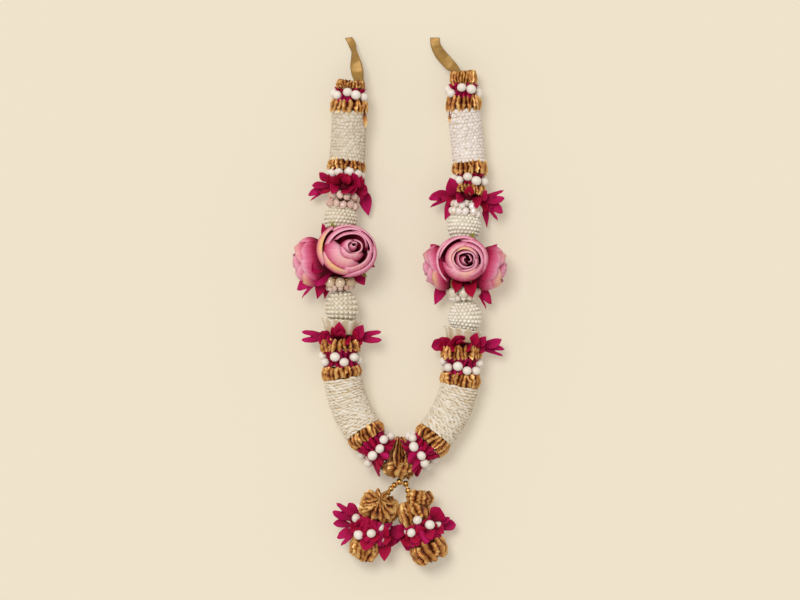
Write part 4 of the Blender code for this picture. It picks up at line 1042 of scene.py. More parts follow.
def gathered(
    shells: Shells,
    strand: Strand,
    span: Span,
    radius: float,
    gather: Gather,
    random: Random,
) -> None:
    """Add a gathered ribbon: a closed band whose folds loop in and out round the strand.

    Args:
        shells: Where the band is added.
        strand: Route that it goes round.
        span: Where it starts and ends along the route.
        radius: Radius over its folds.
        gather: How it is gathered.
        random: Source of its irregularity.
    """
    columns = gather.folds * 8
    rows = gather.rows
    s = np.arange(columns) / columns
    edges = np.cumsum(random.uniform(0.5, 1.5, gather.folds))
    edges = np.concatenate([[0.0], edges / edges[-1]])
    phase = s * gather.folds
    fold = np.floor(phase).astype(int)
    ahead = (fold + 1) % gather.folds
    blend = smooth_step(0.0, 1.0, phase - fold)

    def uneven(low: float, high: float) -> Array:
        """Return a number for each column that eases from one fold's own to the next's."""
        own = random.uniform(low, high, gather.folds)
        return own[fold] * (1 - blend) + own[ahead] * blend

    # What differs from fold to fold
    depth, lean, skew = uneven(0.6, 1.2), gather.lean * uneven(0.6, 1.3), uneven(-1.0, 1.0)
    crest, slant = uneven(-1.0, 0.5), gather.slant * uneven(-1.0, 1.0)
    low_wave, high_wave = uneven(-1.0, 1.0), uneven(-1.0, 1.0)
    rough = random.uniform(-1.0, 1.0, (2, rows, gather.folds))
    shift, dent = rough[:, :, fold] * (1 - blend) + rough[:, :, ahead] * blend
    turn = math.tau * phase
    outward = 1.0 - np.abs(np.sin(math.pi * phase)) ** 1.3
    v = np.linspace(0.0, 1.0, rows)[:, None]
    # The folds lean over each other and slant across the ribbon
    curl = (lean * np.sin(turn) + slant * (v - 0.5) + shift * 0.16) / gather.folds
    place = np.interp(phase, np.arange(gather.folds + 1), edges)
    angle = math.tau * (place + curl) + 0.03 * np.sin(v * 5.0 + skew * 4)
    # The crests reach the full radius and the valleys go in towards the strand
    valley = gather.depth * depth * (1 - outward) * (0.6 + 0.8 * np.abs(v - 0.5))
    body = radius * through(*gather.flare, v)
    reach = body + np.clip(body / radius, 0.2, 1.0) * (crest * 0.16 * gather.depth - valley)
    reach = reach + dent * 0.12 * gather.depth
    # The two edges wave along the strand
    points = gather.points * (outward - 0.5) * 2
    wave = np.where(v < 0.5, low_wave, high_wave) * gather.wave + points
    wave = wave + gather.wave * 0.6 * np.sin(turn + skew * 3)
    distance = span[0] + (span[1] - span[0]) * v + wave * (2 * v - 1)
    grid = strand.place(distance, angle, np.maximum(reach, gather.bore))
    # The number rise is high on the crests and at the edges and low in the valleys; the finishes paint
    # shade into the valleys and highlights on the crests from it.
    rise = outward * (0.75 + 0.25 * crest) + 0.15 * np.abs(2 * v - 1) + 0.15 * dent
    numbers = {"down": v, "rise": rise, "tint": 0.5 + 0.5 * skew, "across": s}
    shells.sheet(grid, gather.thickness, wrap=True, **numbers)


def sleeve(
    shells: Shells,
    strand: Strand,
    span: Span,
    radius: float,
    bore: float = BORE,
    **numbers: float,
) -> None:
    """Add a plain sleeve with a bore, to carry what is set on it.

    Args:
        shells: Where it is added.
        strand: Route that it goes round.
        span: Where it starts and ends along the route.
        radius: Its radius.
        bore: Radius of its bore.
        **numbers: Numbers for its points.
    """
    steps = max(2, int((span[1] - span[0]) / SLEEVE_STEP))
    rows = np.linspace(span[0], span[1], steps)
    distance = np.concatenate([rows, rows[::-1]])[:, None]
    radii = np.concatenate([np.full(steps, radius), np.full(steps, bore)])[:, None]
    shells.body(strand.place(distance, turn_angles(SLEEVE_SIDES), radii), **numbers)


# Petals


@dataclass(frozen=True)
class Petal:
    """A petal by its tip: offset from its hub in X and Y, height, and width."""

    dx: float
    dy: float
    height: float
    width: float
    forked: bool = False


def petal_rows(*rows: Sequence[float]) -> tuple[Petal, ...]:
    """Return petals from rows that hold their fields in order."""
    return tuple(Petal(*row) for row in rows)


@dataclass(frozen=True)
class Loose:
    """Short petals round a hub: their number, reach, lean along the strand and width."""

    count: int
    reach: float
    lean: float
    width: float


def bezier(start: Array, control: Array, end: Array, u: Array) -> Array:
    """Return points on a bend that leaves the start towards the control point."""
    return start * (1 - u) ** 2 + control * (2 * u * (1 - u)) + end * u**2


def petal_sheet(
    shells: Shells,
    root: Array,
    elbow: Array,
    tip: Array,
    width: float,
    forked: bool,
    random: Random,
    slot: int = 0,
    tint: float = 0.5,
) -> None:
    """Add one creased cloth petal, pointed or forked.

    Args:
        shells: Where the petal is added.
        root: Its root.
        elbow: The point that it leaves the root towards.
        tip: Its tip.
        width: Its width in millimetres.
        forked: Whether the tip is split in two.
        random: Source of its irregularity.
        slot: Material slot.
        tint: Where its colour lies between warm and cool.
    """
    rows, columns = 13, 9
    v = np.linspace(0.0, 1.0, rows)[:, None]
    u = np.linspace(-1.0, 1.0, columns)[None, :]
    line = bezier(root, elbow, tip, v)
    way = unit(tip - root)
    level = np.array([way[0], way[1], 0.0])
    level = unit(level) if np.linalg.norm(level) > 0.2 else np.array([0.0, 1.0, 0.0])
    across = unit(np.array([-level[1], level[0], random.uniform(-0.25, 0.25)]))
    normal = unit(np.cross(way, across))
    grow = 0.3 + 0.7 * smooth_step(0.0, 0.6, v)
    if forked:
        outline = grow * (1 - 0.3 * smooth_step(0.8, 1.0, v))
        notch = -0.3 * smooth_step(0.55, 1.0, v) * np.exp(-((u / 0.3) ** 2))
        ends = 0.1 * smooth_step(0.6, 1.0, v) * np.abs(u)
    else:
        outline = grow * np.sqrt(np.clip(1 - smooth_step(0.58, 1.0, v) ** 1.4, 0.0009, 1.0))
        notch = ends = np.zeros((rows, columns))
    half = width * MM / 2
    length = np.linalg.norm(tip - root)
    ripple = random.uniform(-0.12, 0.12) * np.sin(v * 6 + random.uniform(0, 6)) * u
    crease = 0.16 * (1 - np.abs(u)) * np.sin(math.pi * v) ** 0.5 + ripple
    grid = line[:, None, :] + across * (u * outline * half)[..., None]
    grid = grid - normal * (crease * half * 1.6)[..., None]
    grid = grid + way * ((notch + ends) * length)[..., None]
    tint = min(max(tint + random.uniform(-0.25, 0.25), 0.0), 1.0)
    rise = v * (1 - 0.25 * np.exp(-((u / 0.12) ** 2)))
    shells.sheet(grid, PETAL_THICKNESS, slot=slot, rise=rise, across=u, tint=tint)


def whorl_petals(
    shells: Shells,
    strand: Strand,
    span: Span,
    hub: float,
    petals: Iterable[Petal],
    random: Random,
    loose: Loose | None = None,
) -> None:
    """Add petals that grow from a hub on a strand to where their tips are.

    Args:
        shells: Where they are added.
        strand: Route that the hub is on.
        span: Where the hub starts and ends.
        hub: Radius of the hub.
        petals: The petals.
        random: Source of their irregularity.
        loose: Short petals that fill the spaces between them.
    """
    distance = (span[0] + span[1]) / 2 * MM
    middle, along, up, side = (part.reshape(3) for part in strand.frames(np.array([distance])))
    half = (span[1] - span[0]) / 2 * MM
    # Each root slides along the hub towards its tip, and the petal leaves it outwards
    for petal in petals:
        tip = np.array([middle[0] + petal.dx * MM, middle[1] + petal.dy * MM, petal.height * MM])
        offset = tip - middle
        room = max(half - 0.16 * petal.width * MM - 0.4 * MM, 0.0)
        shift = max(-room, min(room, float(offset @ along) * 0.5))
        out = unit(offset - along * (offset @ along))
        reach = float(offset @ out)
        root = middle + along * shift + out * (hub - 1.5) * MM
        elbow = middle + along * shift + out * max(reach * 0.86, (hub + 3) * MM)
        tint = abs(petal.dx) / 40
        petal_sheet(
            shells, root, elbow, tip, petal.width * 1.15, petal.forked, random, tint=tint
        )
    if loose is None:
        return
    # The short ones lean up and down the strand by turns
    for index in range(loose.count):
        angle = math.tau * (index + random.uniform(-0.2, 0.2)) / loose.count
        out = up * math.cos(angle) + side * math.sin(angle)
        lean = along * (1 if index % 2 else -1) * loose.lean * random.uniform(0.8, 1.1)
        root = middle + out * (hub - 1.0) * MM
        elbow = middle + out * loose.reach * 0.9 * MM
        tip = middle + (out * loose.reach * random.uniform(0.9, 1.05) + lean) * MM
        petal_sheet(shells, root, elbow, tip, loose.width, False, random, tint=0.2)


# What is threaded on a strand


def generator(name: str) -> Random:
    """Return a source of random numbers that is the same for a name in every run."""
    return np.random.default_rng(SEED + sum(ord(letter) * (i + 3) for i, letter in enumerate(name)))


@dataclass(frozen=True)
class Rosette:
    """A gathered ribbon round an axis of its own, by the axis's two ends and its radius."""

    top: Triple
    foot: Triple
    radius: float
    gather: Gather


@dataclass
class Threaded:
    """A piece that is threaded on a strand: its name, its strand and its span along it."""

    name: str
    strand: Strand
    span: Span

    def carry(self, parts: Sequence[Item], slot: str, base: Finish, radius: float, tint: float) -> Item:
        """Join parts to the sleeve that carries them, and let them stand for their solid.

        Args:
            parts: What the sleeve carries.
            slot: Not used.
            base: Finish of the sleeve.
            radius: Radius of the sleeve.
            tint: Number of its colour.

        Returns:
            The joined piece.
        """
        shells = Shells()
        sleeve(shells, self.strand, self.span, radius, tint=tint)
        core = shells.piece(f"{self.name}_core", [base.material()])
        return seat(join(f"{self.name}_dressed", [*parts, core]), self.name)


@dataclass
class Ruffles:
    """Gathered gold ribbons that are one solid: each by its span, radius and gather."""

    name: str
    strand: Strand
    bands: Sequence[tuple[Span, float, Gather]]
    rosettes: Sequence[Rosette] = ()
    tails: Sequence[Tail] = ()

    def build(self) -> Item:
        """Build the ribbons and stand for their solid."""
        shells = Shells()
        random = generator(self.name)
        for span, radius, gather in self.bands:
            gathered(shells, self.strand, span, radius, gather, random)
        for rosette in self.rosettes:
            line = Strand([rosette.top, rosette.foot])
            span = (0.0, line.length / MM)
            gathered(shells, line, span, rosette.radius, rosette.gather, random)
        for start, end, width in self.tails:
            root, tip = np.array(start) * MM, np.array(end) * MM
            petal_sheet(shells, root, (root + tip) / 2, tip, width, False, random)
        piece = shells.piece(f"{self.name}_tissue", [GOLD_TISSUE.material()], False)
        return seat(piece, self.name)


@dataclass
class BeadedFrill(Threaded):
    """A magenta frill with a string of white beads wound over it.

    The bead's half size and the pitch lay out the beads that the photograph doesn't show. The
    lower edge may spread wider and extend further. Hidden beads may sink towards the strand,
    and the slack lets the string start before the frill.
    """

    radius: float
    pixels: Sequence[Pixel]
    folds: int = 15
    bead: float = 5.0
    pitch: float = 10.8
    spread: float = 1.0
    extend: float = 0.0
    sink: float = 0.0
    slack: float = 0.0

    def build(self) -> None:
        """Build the cloth and the beads."""
        self._cloth()
        self.beads()

    def _cloth(self) -> None:
        """Build the cloth as a dense inner gather with two pointed edges."""
        shells = Shells()
        random = generator(self.name)
        start, end = self.span
        middle = (start + end) / 2
        wide, tight = 1.12, 0.78
        halves = (
            ((start + 0.2, middle + 1), (wide, 0.92, tight)),
            ((middle - 1, end - 0.2 + self.extend), (tight, 0.92, wide * self.spread)),
        )
        for span, flare in halves:
            gather = Gather(self.folds, 5.4, 0.12, 1.2, 1.0, flare, 0.45, 0.6)
            gathered(shells, self.strand, span, self.radius - 1.2, gather, random)
        piece = shells.piece(f"{self.name}_frill_cloth", [MAGENTA_CLOTH.material()])
        seat(piece, f"{self.name}_frill")

    def beads(self) -> None:
        """Build the beads where the photograph shows them, and go on round the back."""
        spots = (self.strand.find(pixel, self.radius) for pixel in self.pixels)
        found = sorted(spots, key=lambda spot: spot[1])
        first, last = found[0][1], found[-1][1]
        gap = first + math.tau - last
        count = max(1, round(gap * self.radius / self.pitch)) - 1
        middle = (self.span[0] + self.span[1]) / 2
        sway = (self.span[1] - self.span[0]) / 2 - self.bead - GAP
        for index in range(count):
            side = sway if index % 2 else -sway
            found.append((middle + side, last + gap * (index + 1) / (count + 1)))
        low = self.span[0] + self.bead * 0.7 - self.slack
        high = self.span[1] - self.bead * 0.7
        distance = np.clip([spot[0] for spot in found], low, high)
        angle = np.array([spot[1] for spot in found])
        reach = np.full(len(found), self.radius)
        reach[len(self.pixels):] -= self.sink
        points, out, _ = self.strand.ring(distance, angle, reach)
        work = Beadwork(UnitShape.BEAD, WHITE_BEAD)
        onward = unit(np.roll(points, -1, 0) - np.roll(points, 1, 0))
        work.add(points, out, onward, (self.bead,) * 3, "closed")
        piece = work.make(f"{self.name}_bead_string", 0.5, vary=0.05, tilt=0.2)
        seat(piece, f"{self.name}_beads")


@dataclass(frozen=True)
class BudLay:
    """How buds lie on a tube.

    Fields hold their shape, the finish of the sleeve below them, their spacing round the tube
    and along it, how far they stray along it in millimetres and round it in radians, how deep
    they sit, and their half sizes.
    """

    shape: UnitShape
    base: Speckled
    pitch: float
    row: float
    stray: tuple[float, float]
    depth: float
    size: Triple


TIPS = BudLay(UnitShape.BUD, BUD_SLEEVE, 4.5, 3.9, (0.45, 0.026), 1.7, (3.4, 3.0, 1.25))
STRIPS = BudLay(UnitShape.STRIP, STRIP_SLEEVE, 7.2, 2.8, (0.3, 0.03), 1.6, (5.0, 1.75, 1.5))


@dataclass
class BudTube(Threaded):
    """A sleeve that is covered in cloth buds, as tips or as strips round it."""

    radius: float
    lay: BudLay
    cloth: Buds

    def build(self) -> Item:
        """Build the buds and their sleeve."""
        lay = self.lay
        random = generator(self.name)
        distance, angle = self._rows()
        distance = distance + random.normal(0, lay.stray[0], len(distance))
        angle = angle + random.normal(0, lay.stray[1], len(angle))
        points, out, along = self.strand.ring(distance, angle, self.radius - lay.depth)
        work = Beadwork(lay.shape, self.cloth)
        if lay.shape is UnitShape.STRIP:
            # Strips lie round the tube, each a little askew
            askew = random.normal(0.16, 0.1, len(out))[:, None]
            work.add(points, out, unit(np.cross(out, along) + along * askew), lay.size)
        else:
            # Tips lean so that they point up the strand
            work.add(points, unit(out - along * 0.25), along, lay.size)
        buds = work.make(f"{self.name}_buds", vary=0.16, tilt=0.2)
        return self.carry([buds], "white_buds", lay.base, self.radius - 1.5, 0.5)

    def _rows(self) -> tuple[Array, Array]:
        """Return the distance and the angle of each bud, in rows that overlap like bricks."""
        row = self.lay.row
        around = round(math.tau * self.radius / self.lay.pitch)
        rows = round((self.span[1] - self.span[0] - row * 0.6) / row) + 1
        distance = np.linspace(self.span[0] + row * 0.3, self.span[1] - row * 0.3, rows)
        index = np.arange(rows * around)
        angle = (index % around + 0.5 * (index // around % 2)) / around * math.tau
        return distance[index // around], angle


@dataclass(frozen=True)
class StrandFinishes:
    """The finishes in which the strands differ."""

    tube: Buds
    pearl: Speckled
    ring_pearl: Speckled
    clear: Clear
    base: Speckled


@dataclass(frozen=True)
class PearlLayout:
    """Half size of the pearls on a ball, their spacing in a row and between rows, and stagger."""

    pearl: float
    pitch: float
    row_pitch: float
    stagger: float


@dataclass
class PearlBall(Threaded):
    """A ball covered in rows of seed pearls."""

    layout: PearlLayout
    pearl: Speckled
    first_ring: float = 5.0
    proud: float = 0.2

    def build(self) -> Item:
        """Build the ball under the pearls, then the pearls."""
        radius = (self.span[1] - self.span[0]) / 2
        middle = (self.span[0] + self.span[1]) / 2
        layout = self.layout
        seat_radius = radius - layout.pearl + self.proud
        shells = Shells()
        self._core(shells, middle, seat_radius - 0.1)
        core = shells.piece(f"{self.name}_core", [PEARL_BASE.material()])
        work = Beadwork(UnitShape.PEARL, self.pearl)
        first = math.asin(self.first_ring / seat_radius)
        rows = round((math.pi - 2 * first) * seat_radius / layout.row_pitch) + 1
        for row in range(rows):
            polar = first + (math.pi - 2 * first) * row / (rows - 1)
            ring = seat_radius * math.sin(polar)
            count = max(4, round(math.tau * ring / layout.pitch))
            angle = (np.arange(count) + layout.stagger * (row % 2)) / count * math.tau
            distance = middle - seat_radius * math.cos(polar)
            spots = self.strand.ring(distance, angle, ring)
            work.add(*spots, (layout.pearl,) * 3)
        pearls = work.make(f"{self.name}_pearls", vary=0.03)
        return seat(join(f"{self.name}_dressed", [pearls, core]), self.name)

    def _core(self, shells: Shells, middle: float, radius: float) -> None:
        """Build a bored ball."""
        rings, sides = 14, 24
        first = math.asin(BORE / radius)
        polar = np.linspace(first, math.pi - first, rings)[:, None]
        distance, reach = middle - radius * np.cos(polar), radius * np.sin(polar)
        shells.body(self.strand.place(distance, turn_angles(sides), reach), tint=0.4)


@dataclass
class CrystalCluster(Threaded):
    """Rows of clear drops round the top of a pearl ball."""

    ball: Span
    finishes: StrandFinishes
    drop: float = 4.3

    def build(self) -> Item:
        """Build three staggered rows of drops."""
        work = Beadwork(UnitShape.DROP, self.finishes.clear)
        start, end = self.span
        radius = (self.ball[1] - self.ball[0]) / 2
        middle = (self.ball[0] + self.ball[1]) / 2
        low = end + 3.2
        over = math.sqrt(max(radius**2 - (low - middle) ** 2, 0.0))
        # Each row by its distance along the strand, its radius and its number of drops
        rows = ((start + 3.2, 8.5, 7), (start + 6.4, 14.2, 10), (low, over + self.drop + 0.6, 12))
        random = generator(self.name)
        for number, (distance, ring, count) in enumerate(rows):
            angle = (np.arange(count) + 0.5 * (number % 2)) / count * math.tau
            angle = angle + random.normal(0, 0.05, count)
            spots = distance + random.normal(0, 0.7, count)
            points, out, along = self.strand.ring(spots, angle, ring)
            out = unit(out + along * random.normal(0.0, 0.4, count)[:, None])
            work.add(points, out, along, (self.drop, self.drop * 0.9, self.drop * 0.9))
        drops = work.make(f"{self.name}_drops", vary=0.08, tilt=0.5)
        return self.carry([drops], "crystals", self.finishes.base, 5.5, 0.4)


@dataclass
class PearlRing(Threaded):
    """A ring of large pearls over a row of clear drops, with gold studs between the pearls."""

    finishes: StrandFinishes
    pearl: float = 5.9
    ring: float = 14.0
    count: int = 7

    def build(self) -> Item:
        """Build the pearls, the drops, the studs and the sleeve that carries them."""
        start, end = self.span
        look = self.finishes
        middle = start + self.pearl + 0.4
        rows = (
            (middle, self.ring, self.count, self.pearl, UnitShape.BEAD, look.ring_pearl),
            (end - 2.6, 13.4, 13, 3.1, UnitShape.DROP, look.clear),
            (start + 2.6, 15.2, self.count, 1.5, UnitShape.PEARL, GOLD_BEAD, 0.5),
        )
        return self.carry([self._row(*row) for row in rows], "pearls", look.base, 10.5, 0.5)

    def _row(
        self,
        distance: float,
        ring: float,
        count: int,
        size: float,
        shape: UnitShape,
        finish: Finish,
        shift: float = 0.0,
    ) -> Item:
        """Build one row.

        Args:
            distance: Where it is along the strand.
            ring: How far off the strand it is.
            count: Number of pieces in it.
            size: Half size of a piece.
            shape: Shape of a piece.
            finish: Finish of a piece.
            shift: Turn of the row, as a share of its spacing.

        Returns:
            The row.
        """
        work = Beadwork(shape, finish)
        angle = (np.arange(count) + shift) / count * math.tau
        work.add(*self.strand.ring(distance, angle, ring), (size,) * 3)
        return work.make(f"{self.name}_{shape.value}_{finish.name}", vary=0.04)


@dataclass
class CrystalCup(Threaded):
    """A clear scalloped cup that flares up round the foot of a pearl ball.

    Fields hold the radius of its rim and its foot, how far the rim stands above its span, the
    number of scallops, how deep they dip, how far their flutes stand out, and its thickness.
    """

    rim: float = 22.0
    foot: float = 16.5
    lift: float = 5.5
    scallops: int = 12
    dip: float = 1.3
    flutes: float = 0.8
    wall: float = 1.0

    def build(self) -> Item:
        """Build the cup's wall and the sleeve inside it."""
        start, end = self.span
        angles = turn_angles(self.scallops * 6)
        v = np.linspace(0, 1, 9)[:, None]
        scallop = np.abs(np.sin(angles * self.scallops / 2))
        distance = (start - self.lift) + (end - start + self.lift) * v
        distance = distance - self.dip * (scallop - 0.5) * (1 - v) ** 3
        reach = self.rim + (self.foot - self.rim) * v**0.6 + self.flutes * scallop * (1 - v)
        grid = self.strand.place(distance, angles, reach - 0.6)
        shells = Shells()
        # The flutes are painted in light and shade by the number tint, and the wall is painted pale at
        # the rim as a painted highlight and darker towards the foot as painted shade.
        shells.sheet(grid, self.wall, wrap=True, tint=1.1 * scallop, rise=1 - v)
        sleeve(shells, self.strand, (start, end), 12.0, tint=0.7)
        piece = shells.piece(f"{self.name}_wall", [CUP_SHELL.material()])
        return seat(piece, self.name)


@dataclass
class PetalWhorl(Threaded):
    """Magenta petals that spread from one hub."""

    hub: float
    petals: Sequence[Petal]
    loose: Loose | None = None

    def build(self) -> Item:
        """Build the hub and its petals."""
        shells = Shells()
        random = generator(self.name)
        sleeve(shells, self.strand, self.span, self.hub - 0.4, rise=0.1, tint=0.1)
        whorl_petals(shells, self.strand, self.span, self.hub, self.petals, random, self.loose)
        piece = shells.piece(f"{self.name}_cloth", [MAGENTA_CLOTH.material()])
        return seat(piece, self.name)


# Roses


@dataclass(frozen=True)
class RoseLayer:
    """One layer of rose petals, in shares of the rose's radius and depth.

    The belly and the rim each hold a radius and a height. The half angle and the turn of the
    first petal are in degrees. Each petal has its own blush of yellow and its own opening,
    the share of the radius by which its rim stands further out.
    """

    count: int
    half_angle: float
    start: float
    belly: tuple[float, float]
    rim: tuple[float, float]
    blush: tuple[float, ...] = ()
    opening: tuple[float, ...] = (0.0,)


RANUNCULUS = (
    RoseLayer(1, 62.0, 275.0, (1.05, 0.40), (1.0, 0.74), opening=(0.1,)),
    RoseLayer(1, 62.0, 330.0, (1.0, 0.42), (0.92, 0.82), opening=(0.06,)),
    RoseLayer(1, 70.0, 62.0, (0.97, 0.42), (0.85, 0.84)),
    RoseLayer(1, 84.0, 182.0, (0.98, 0.44), (0.62, 0.92), (0.5,), (-0.04,)),
    RoseLayer(2, 100.0, 95.0, (0.80, 0.52), (0.62, 0.95), (0.0, 0.3), (0.05, -0.04)),
    RoseLayer(3, 74.0, 20.0, (0.60, 0.56), (0.47, 0.99), (0.9, 0.0, 0.3), (0.0, -0.03, 0.03)),
    RoseLayer(2, 100.0, 200.0, (0.42, 0.6), (0.33, 1.0)),
    RoseLayer(2, 86.0, 75.0, (0.24, 0.6), (0.15, 0.96)),
)
CABBAGE = (
    RoseLayer(1, 64.0, 28.0, (0.96, 0.36), (0.86, 0.76), opening=(0.13,)),
    RoseLayer(1, 52.0, 290.0, (1.04, 0.34), (0.94, 0.76), (1.0,), (0.08,)),
    RoseLayer(1, 56.0, 222.0, (0.97, 0.38), (0.86, 0.80), (1.0,)),
    RoseLayer(1, 60.0, 128.0, (1.03, 0.36), (0.90, 0.76), opening=(0.04,)),
    RoseLayer(1, 64.0, 345.0, (0.86, 0.46), (0.70, 0.88), opening=(0.12,)),
    RoseLayer(1, 84.0, 228.0, (0.95, 0.50), (0.50, 0.96), (0.3,), (-0.1,)),
    RoseLayer(1, 62.0, 145.0, (0.92, 0.46), (0.66, 0.88), (0.2,), (0.06,)),
    RoseLayer(1, 60.0, 68.0, (0.86, 0.48), (0.68, 0.88), opening=(0.06,)),
    RoseLayer(1, 80.0, 20.0, (0.66, 0.55), (0.54, 0.94), opening=(0.05,)),
    RoseLayer(1, 84.0, 200.0, (0.60, 0.58), (0.30, 1.02), (0.2,)),
    RoseLayer(2, 100.0, 100.0, (0.36, 0.6), (0.22, 1.0), (0.2, 0.0), (0.06, 0.0)),
    RoseLayer(2, 110.0, 30.0, (0.2, 0.6), (0.08, 0.97)),
)
OPEN_BUD = (
    RoseLayer(
        4, 58.0, 40.0, (1.0, 0.40), (0.84, 0.80), (0.0, 0.8, 0.2, 0.0), (0.04, 0.0, -0.1, 0.06)
    ),
    RoseLayer(3, 72.0, 0.0, (0.90, 0.46), (0.66, 0.92), (0.3, 0.0, 0.7), (0.1, -0.04, 0.0)),
    RoseLayer(3, 80.0, 170.0, (0.66, 0.5), (0.42, 0.98)),
    RoseLayer(2, 105.0, 60.0, (0.36, 0.55), (0.16, 1.0)),
)


@dataclass(frozen=True)
class RoseStyle:
    """How a rose differs from others of its size.

    The turn is in degrees. The drift is how far its heart is off its middle, upwards and
    sideways. The oval holds its height and width as shares of round, and the shift says how
    far it sits from its root's place along X and Y.
    """

    layers: Sequence[RoseLayer]
    turn: float = 0.0
    drift: tuple[float, float] = (0.0, 0.0)
    oval: tuple[float, float] = (1.0, 1.0)
    shift: tuple[float, float] = (0.0, 0.0)


@dataclass
class ClothRose:
    """A cloth rose: a bud, layers of cupped petals round it, and sepals below them."""

    name: str
    root: Array
    direction: Triple
    radius: float
    depth: float
    style: RoseStyle
    sepals: Sequence[float] = ()

    def build(self) -> Item:
        """Build the petals and the sepals."""
        way = unit(np.array(self.direction, float))
        guide = np.array([0.0, 1.0, 0.0])
        up = unit(guide - way * (guide @ way))
        self.axes = (way, up, np.cross(up, way))
        shells = Shells()
        random = generator(self.name)
        for layer in self.style.layers:
            for index in range(layer.count):
                self._petal(shells, layer, index, random)
        for angle in self.sepals:
            self._sepal(shells, math.radians(angle), random)
        self._bud(shells)
        materials = [ROSE_CLOTH.material(), SEPAL_CLOTH.material()]
        return seat(shells.piece(f"{self.name}_cloth", materials), self.name)

    def _spot(self, angle: Array, radius: Array, height: Array) -> Array:
        """Return points by angle, radius and height about the flower's axis."""
        way, up, side = self.axes
        tall, wide = self.style.oval
        angle, radius, height = np.broadcast_arrays(angle, radius, height)
        turned = up * tall * np.cos(angle)[..., None] + side * wide * np.sin(angle)[..., None]
        return self.root + turned * radius[..., None] * MM + way * height[..., None] * MM

    def _petal(
        self, shells: Shells, layer: RoseLayer, index: int, random: Random
    ) -> None:
        """Add one cupped petal.

        Args:
            shells: Where it is added.
            layer: Its layer.
            index: Its number in the layer.
            random: Source of its irregularity.
        """
        rows, columns = 15, 17
        v = np.linspace(0.0, 1.0, rows)[:, None]
        u = np.linspace(-1.0, 1.0, columns)[None, :]
        start = math.radians(layer.start + self.style.turn) + math.tau * index / layer.count
        start += random.uniform(-0.1, 0.1)
        half = math.radians(layer.half_angle) * random.uniform(0.92, 1.06)
        spread = 0.55 + 0.45 * smooth_step(0.0, 0.5, v) - 0.1 * smooth_step(0.7, 1.0, v)
        angle = start + u * half * spread
        belly_radius, belly_height = layer.belly
        rim_radius, rim_height = layer.rim
        # From the foot over the belly to the rim
        foot = 3.4 / self.radius
        radius = through(foot, belly_radius * 0.95, rim_radius, v) * self.radius
        height = through(0.0, belly_height, rim_height, v) * self.depth
        # One side laps over the next petal, and the rim ripples
        lap = random.uniform(-1.3, 1.7) * u * smooth_step(0.1, 0.6, v)
        ripple = random.uniform(0.2, 0.7) * np.sin(u * random.uniform(3, 5) + random.uniform(0, 6))
        swell = 0.05 * self.radius * (1 - u**2) * np.sin(math.pi * v)
        opening = layer.opening[index % len(layer.opening)] * self.radius * v**2
        radius = radius + lap + ripple * v**3 + swell * 0.8 + opening
        # The rim is rounded off at its corners and may have a shallow notch
        round_off = np.abs(u) ** 3.2 * (0.2 + random.uniform(0, 0.06))
        notch = random.uniform(0.0, 0.05) * np.exp(-(((u - random.uniform(-0.3, 0.3)) / 0.2) ** 2))
        height = height * (1 - (round_off + notch) * smooth_step(0.3, 1.0, v))
        height = height + ripple * 0.5 * v**3
        points = self._spot(angle, radius, height)
        # The inner petals follow the drifting heart
        _, up, side = self.axes
        inward = (1 - belly_radius) * smooth_step(0.2, 0.9, v)[..., None] * MM
        lift, slide = self.style.drift
        points = points + (up * lift + side * slide) * inward
        blush = layer.blush[index % len(layer.blush)] if layer.blush else 0.0
        centre = random.uniform(-0.4, 0.4)
        rim = smooth_step(0.72, 1.0, v) * np.exp(-(((u - centre) / 0.6) ** 2))
        tint = random.uniform(0, 1)
        # The number rise runs from the root to the rim, for painted shade at the root and a painted
        # highlight at the rim.
        numbers = {"rise": v, "across": u, "tint": tint, "blush": rim * blush}
        shells.sheet(points, ROSE_PETAL_THICKNESS, **numbers)

    def _sepal(self, shells: Shells, angle: float, random: Random) -> None:
        """Add one green sepal that shows below the petals."""
        way, up, side = self.axes
        outward = up * math.cos(angle) + side * math.sin(angle)
        root = self.root + outward * 3 * MM + way * 1.0 * MM
        tip = self.root + outward * self.radius * 1.26 * MM + way * self.depth * 0.28 * MM
        elbow = (root + tip) / 2 - way * 2 * MM
        petal_sheet(shells, root, elbow, tip, 8.0, False, random, slot=1)

    def _bud(self, shells: Shells) -> None:
        """Add the closed bud that the petals grow from."""
        swell, top = self.depth * 0.45, self.depth * 0.8
        heights = np.array([0.0, 1.5, swell, top, top, 0.4])[:, None]
        radii = np.array([4.6, 5.6, self.radius * 0.2, 2.0, 0.8, 0.8])[:, None]
        # The bud takes the root's colour, the painted shade of the rose's heart.
        shells.body(self._spot(turn_angles(16), radii, heights), rise=0.0, tint=0.2)


# Ties, centre and pompons


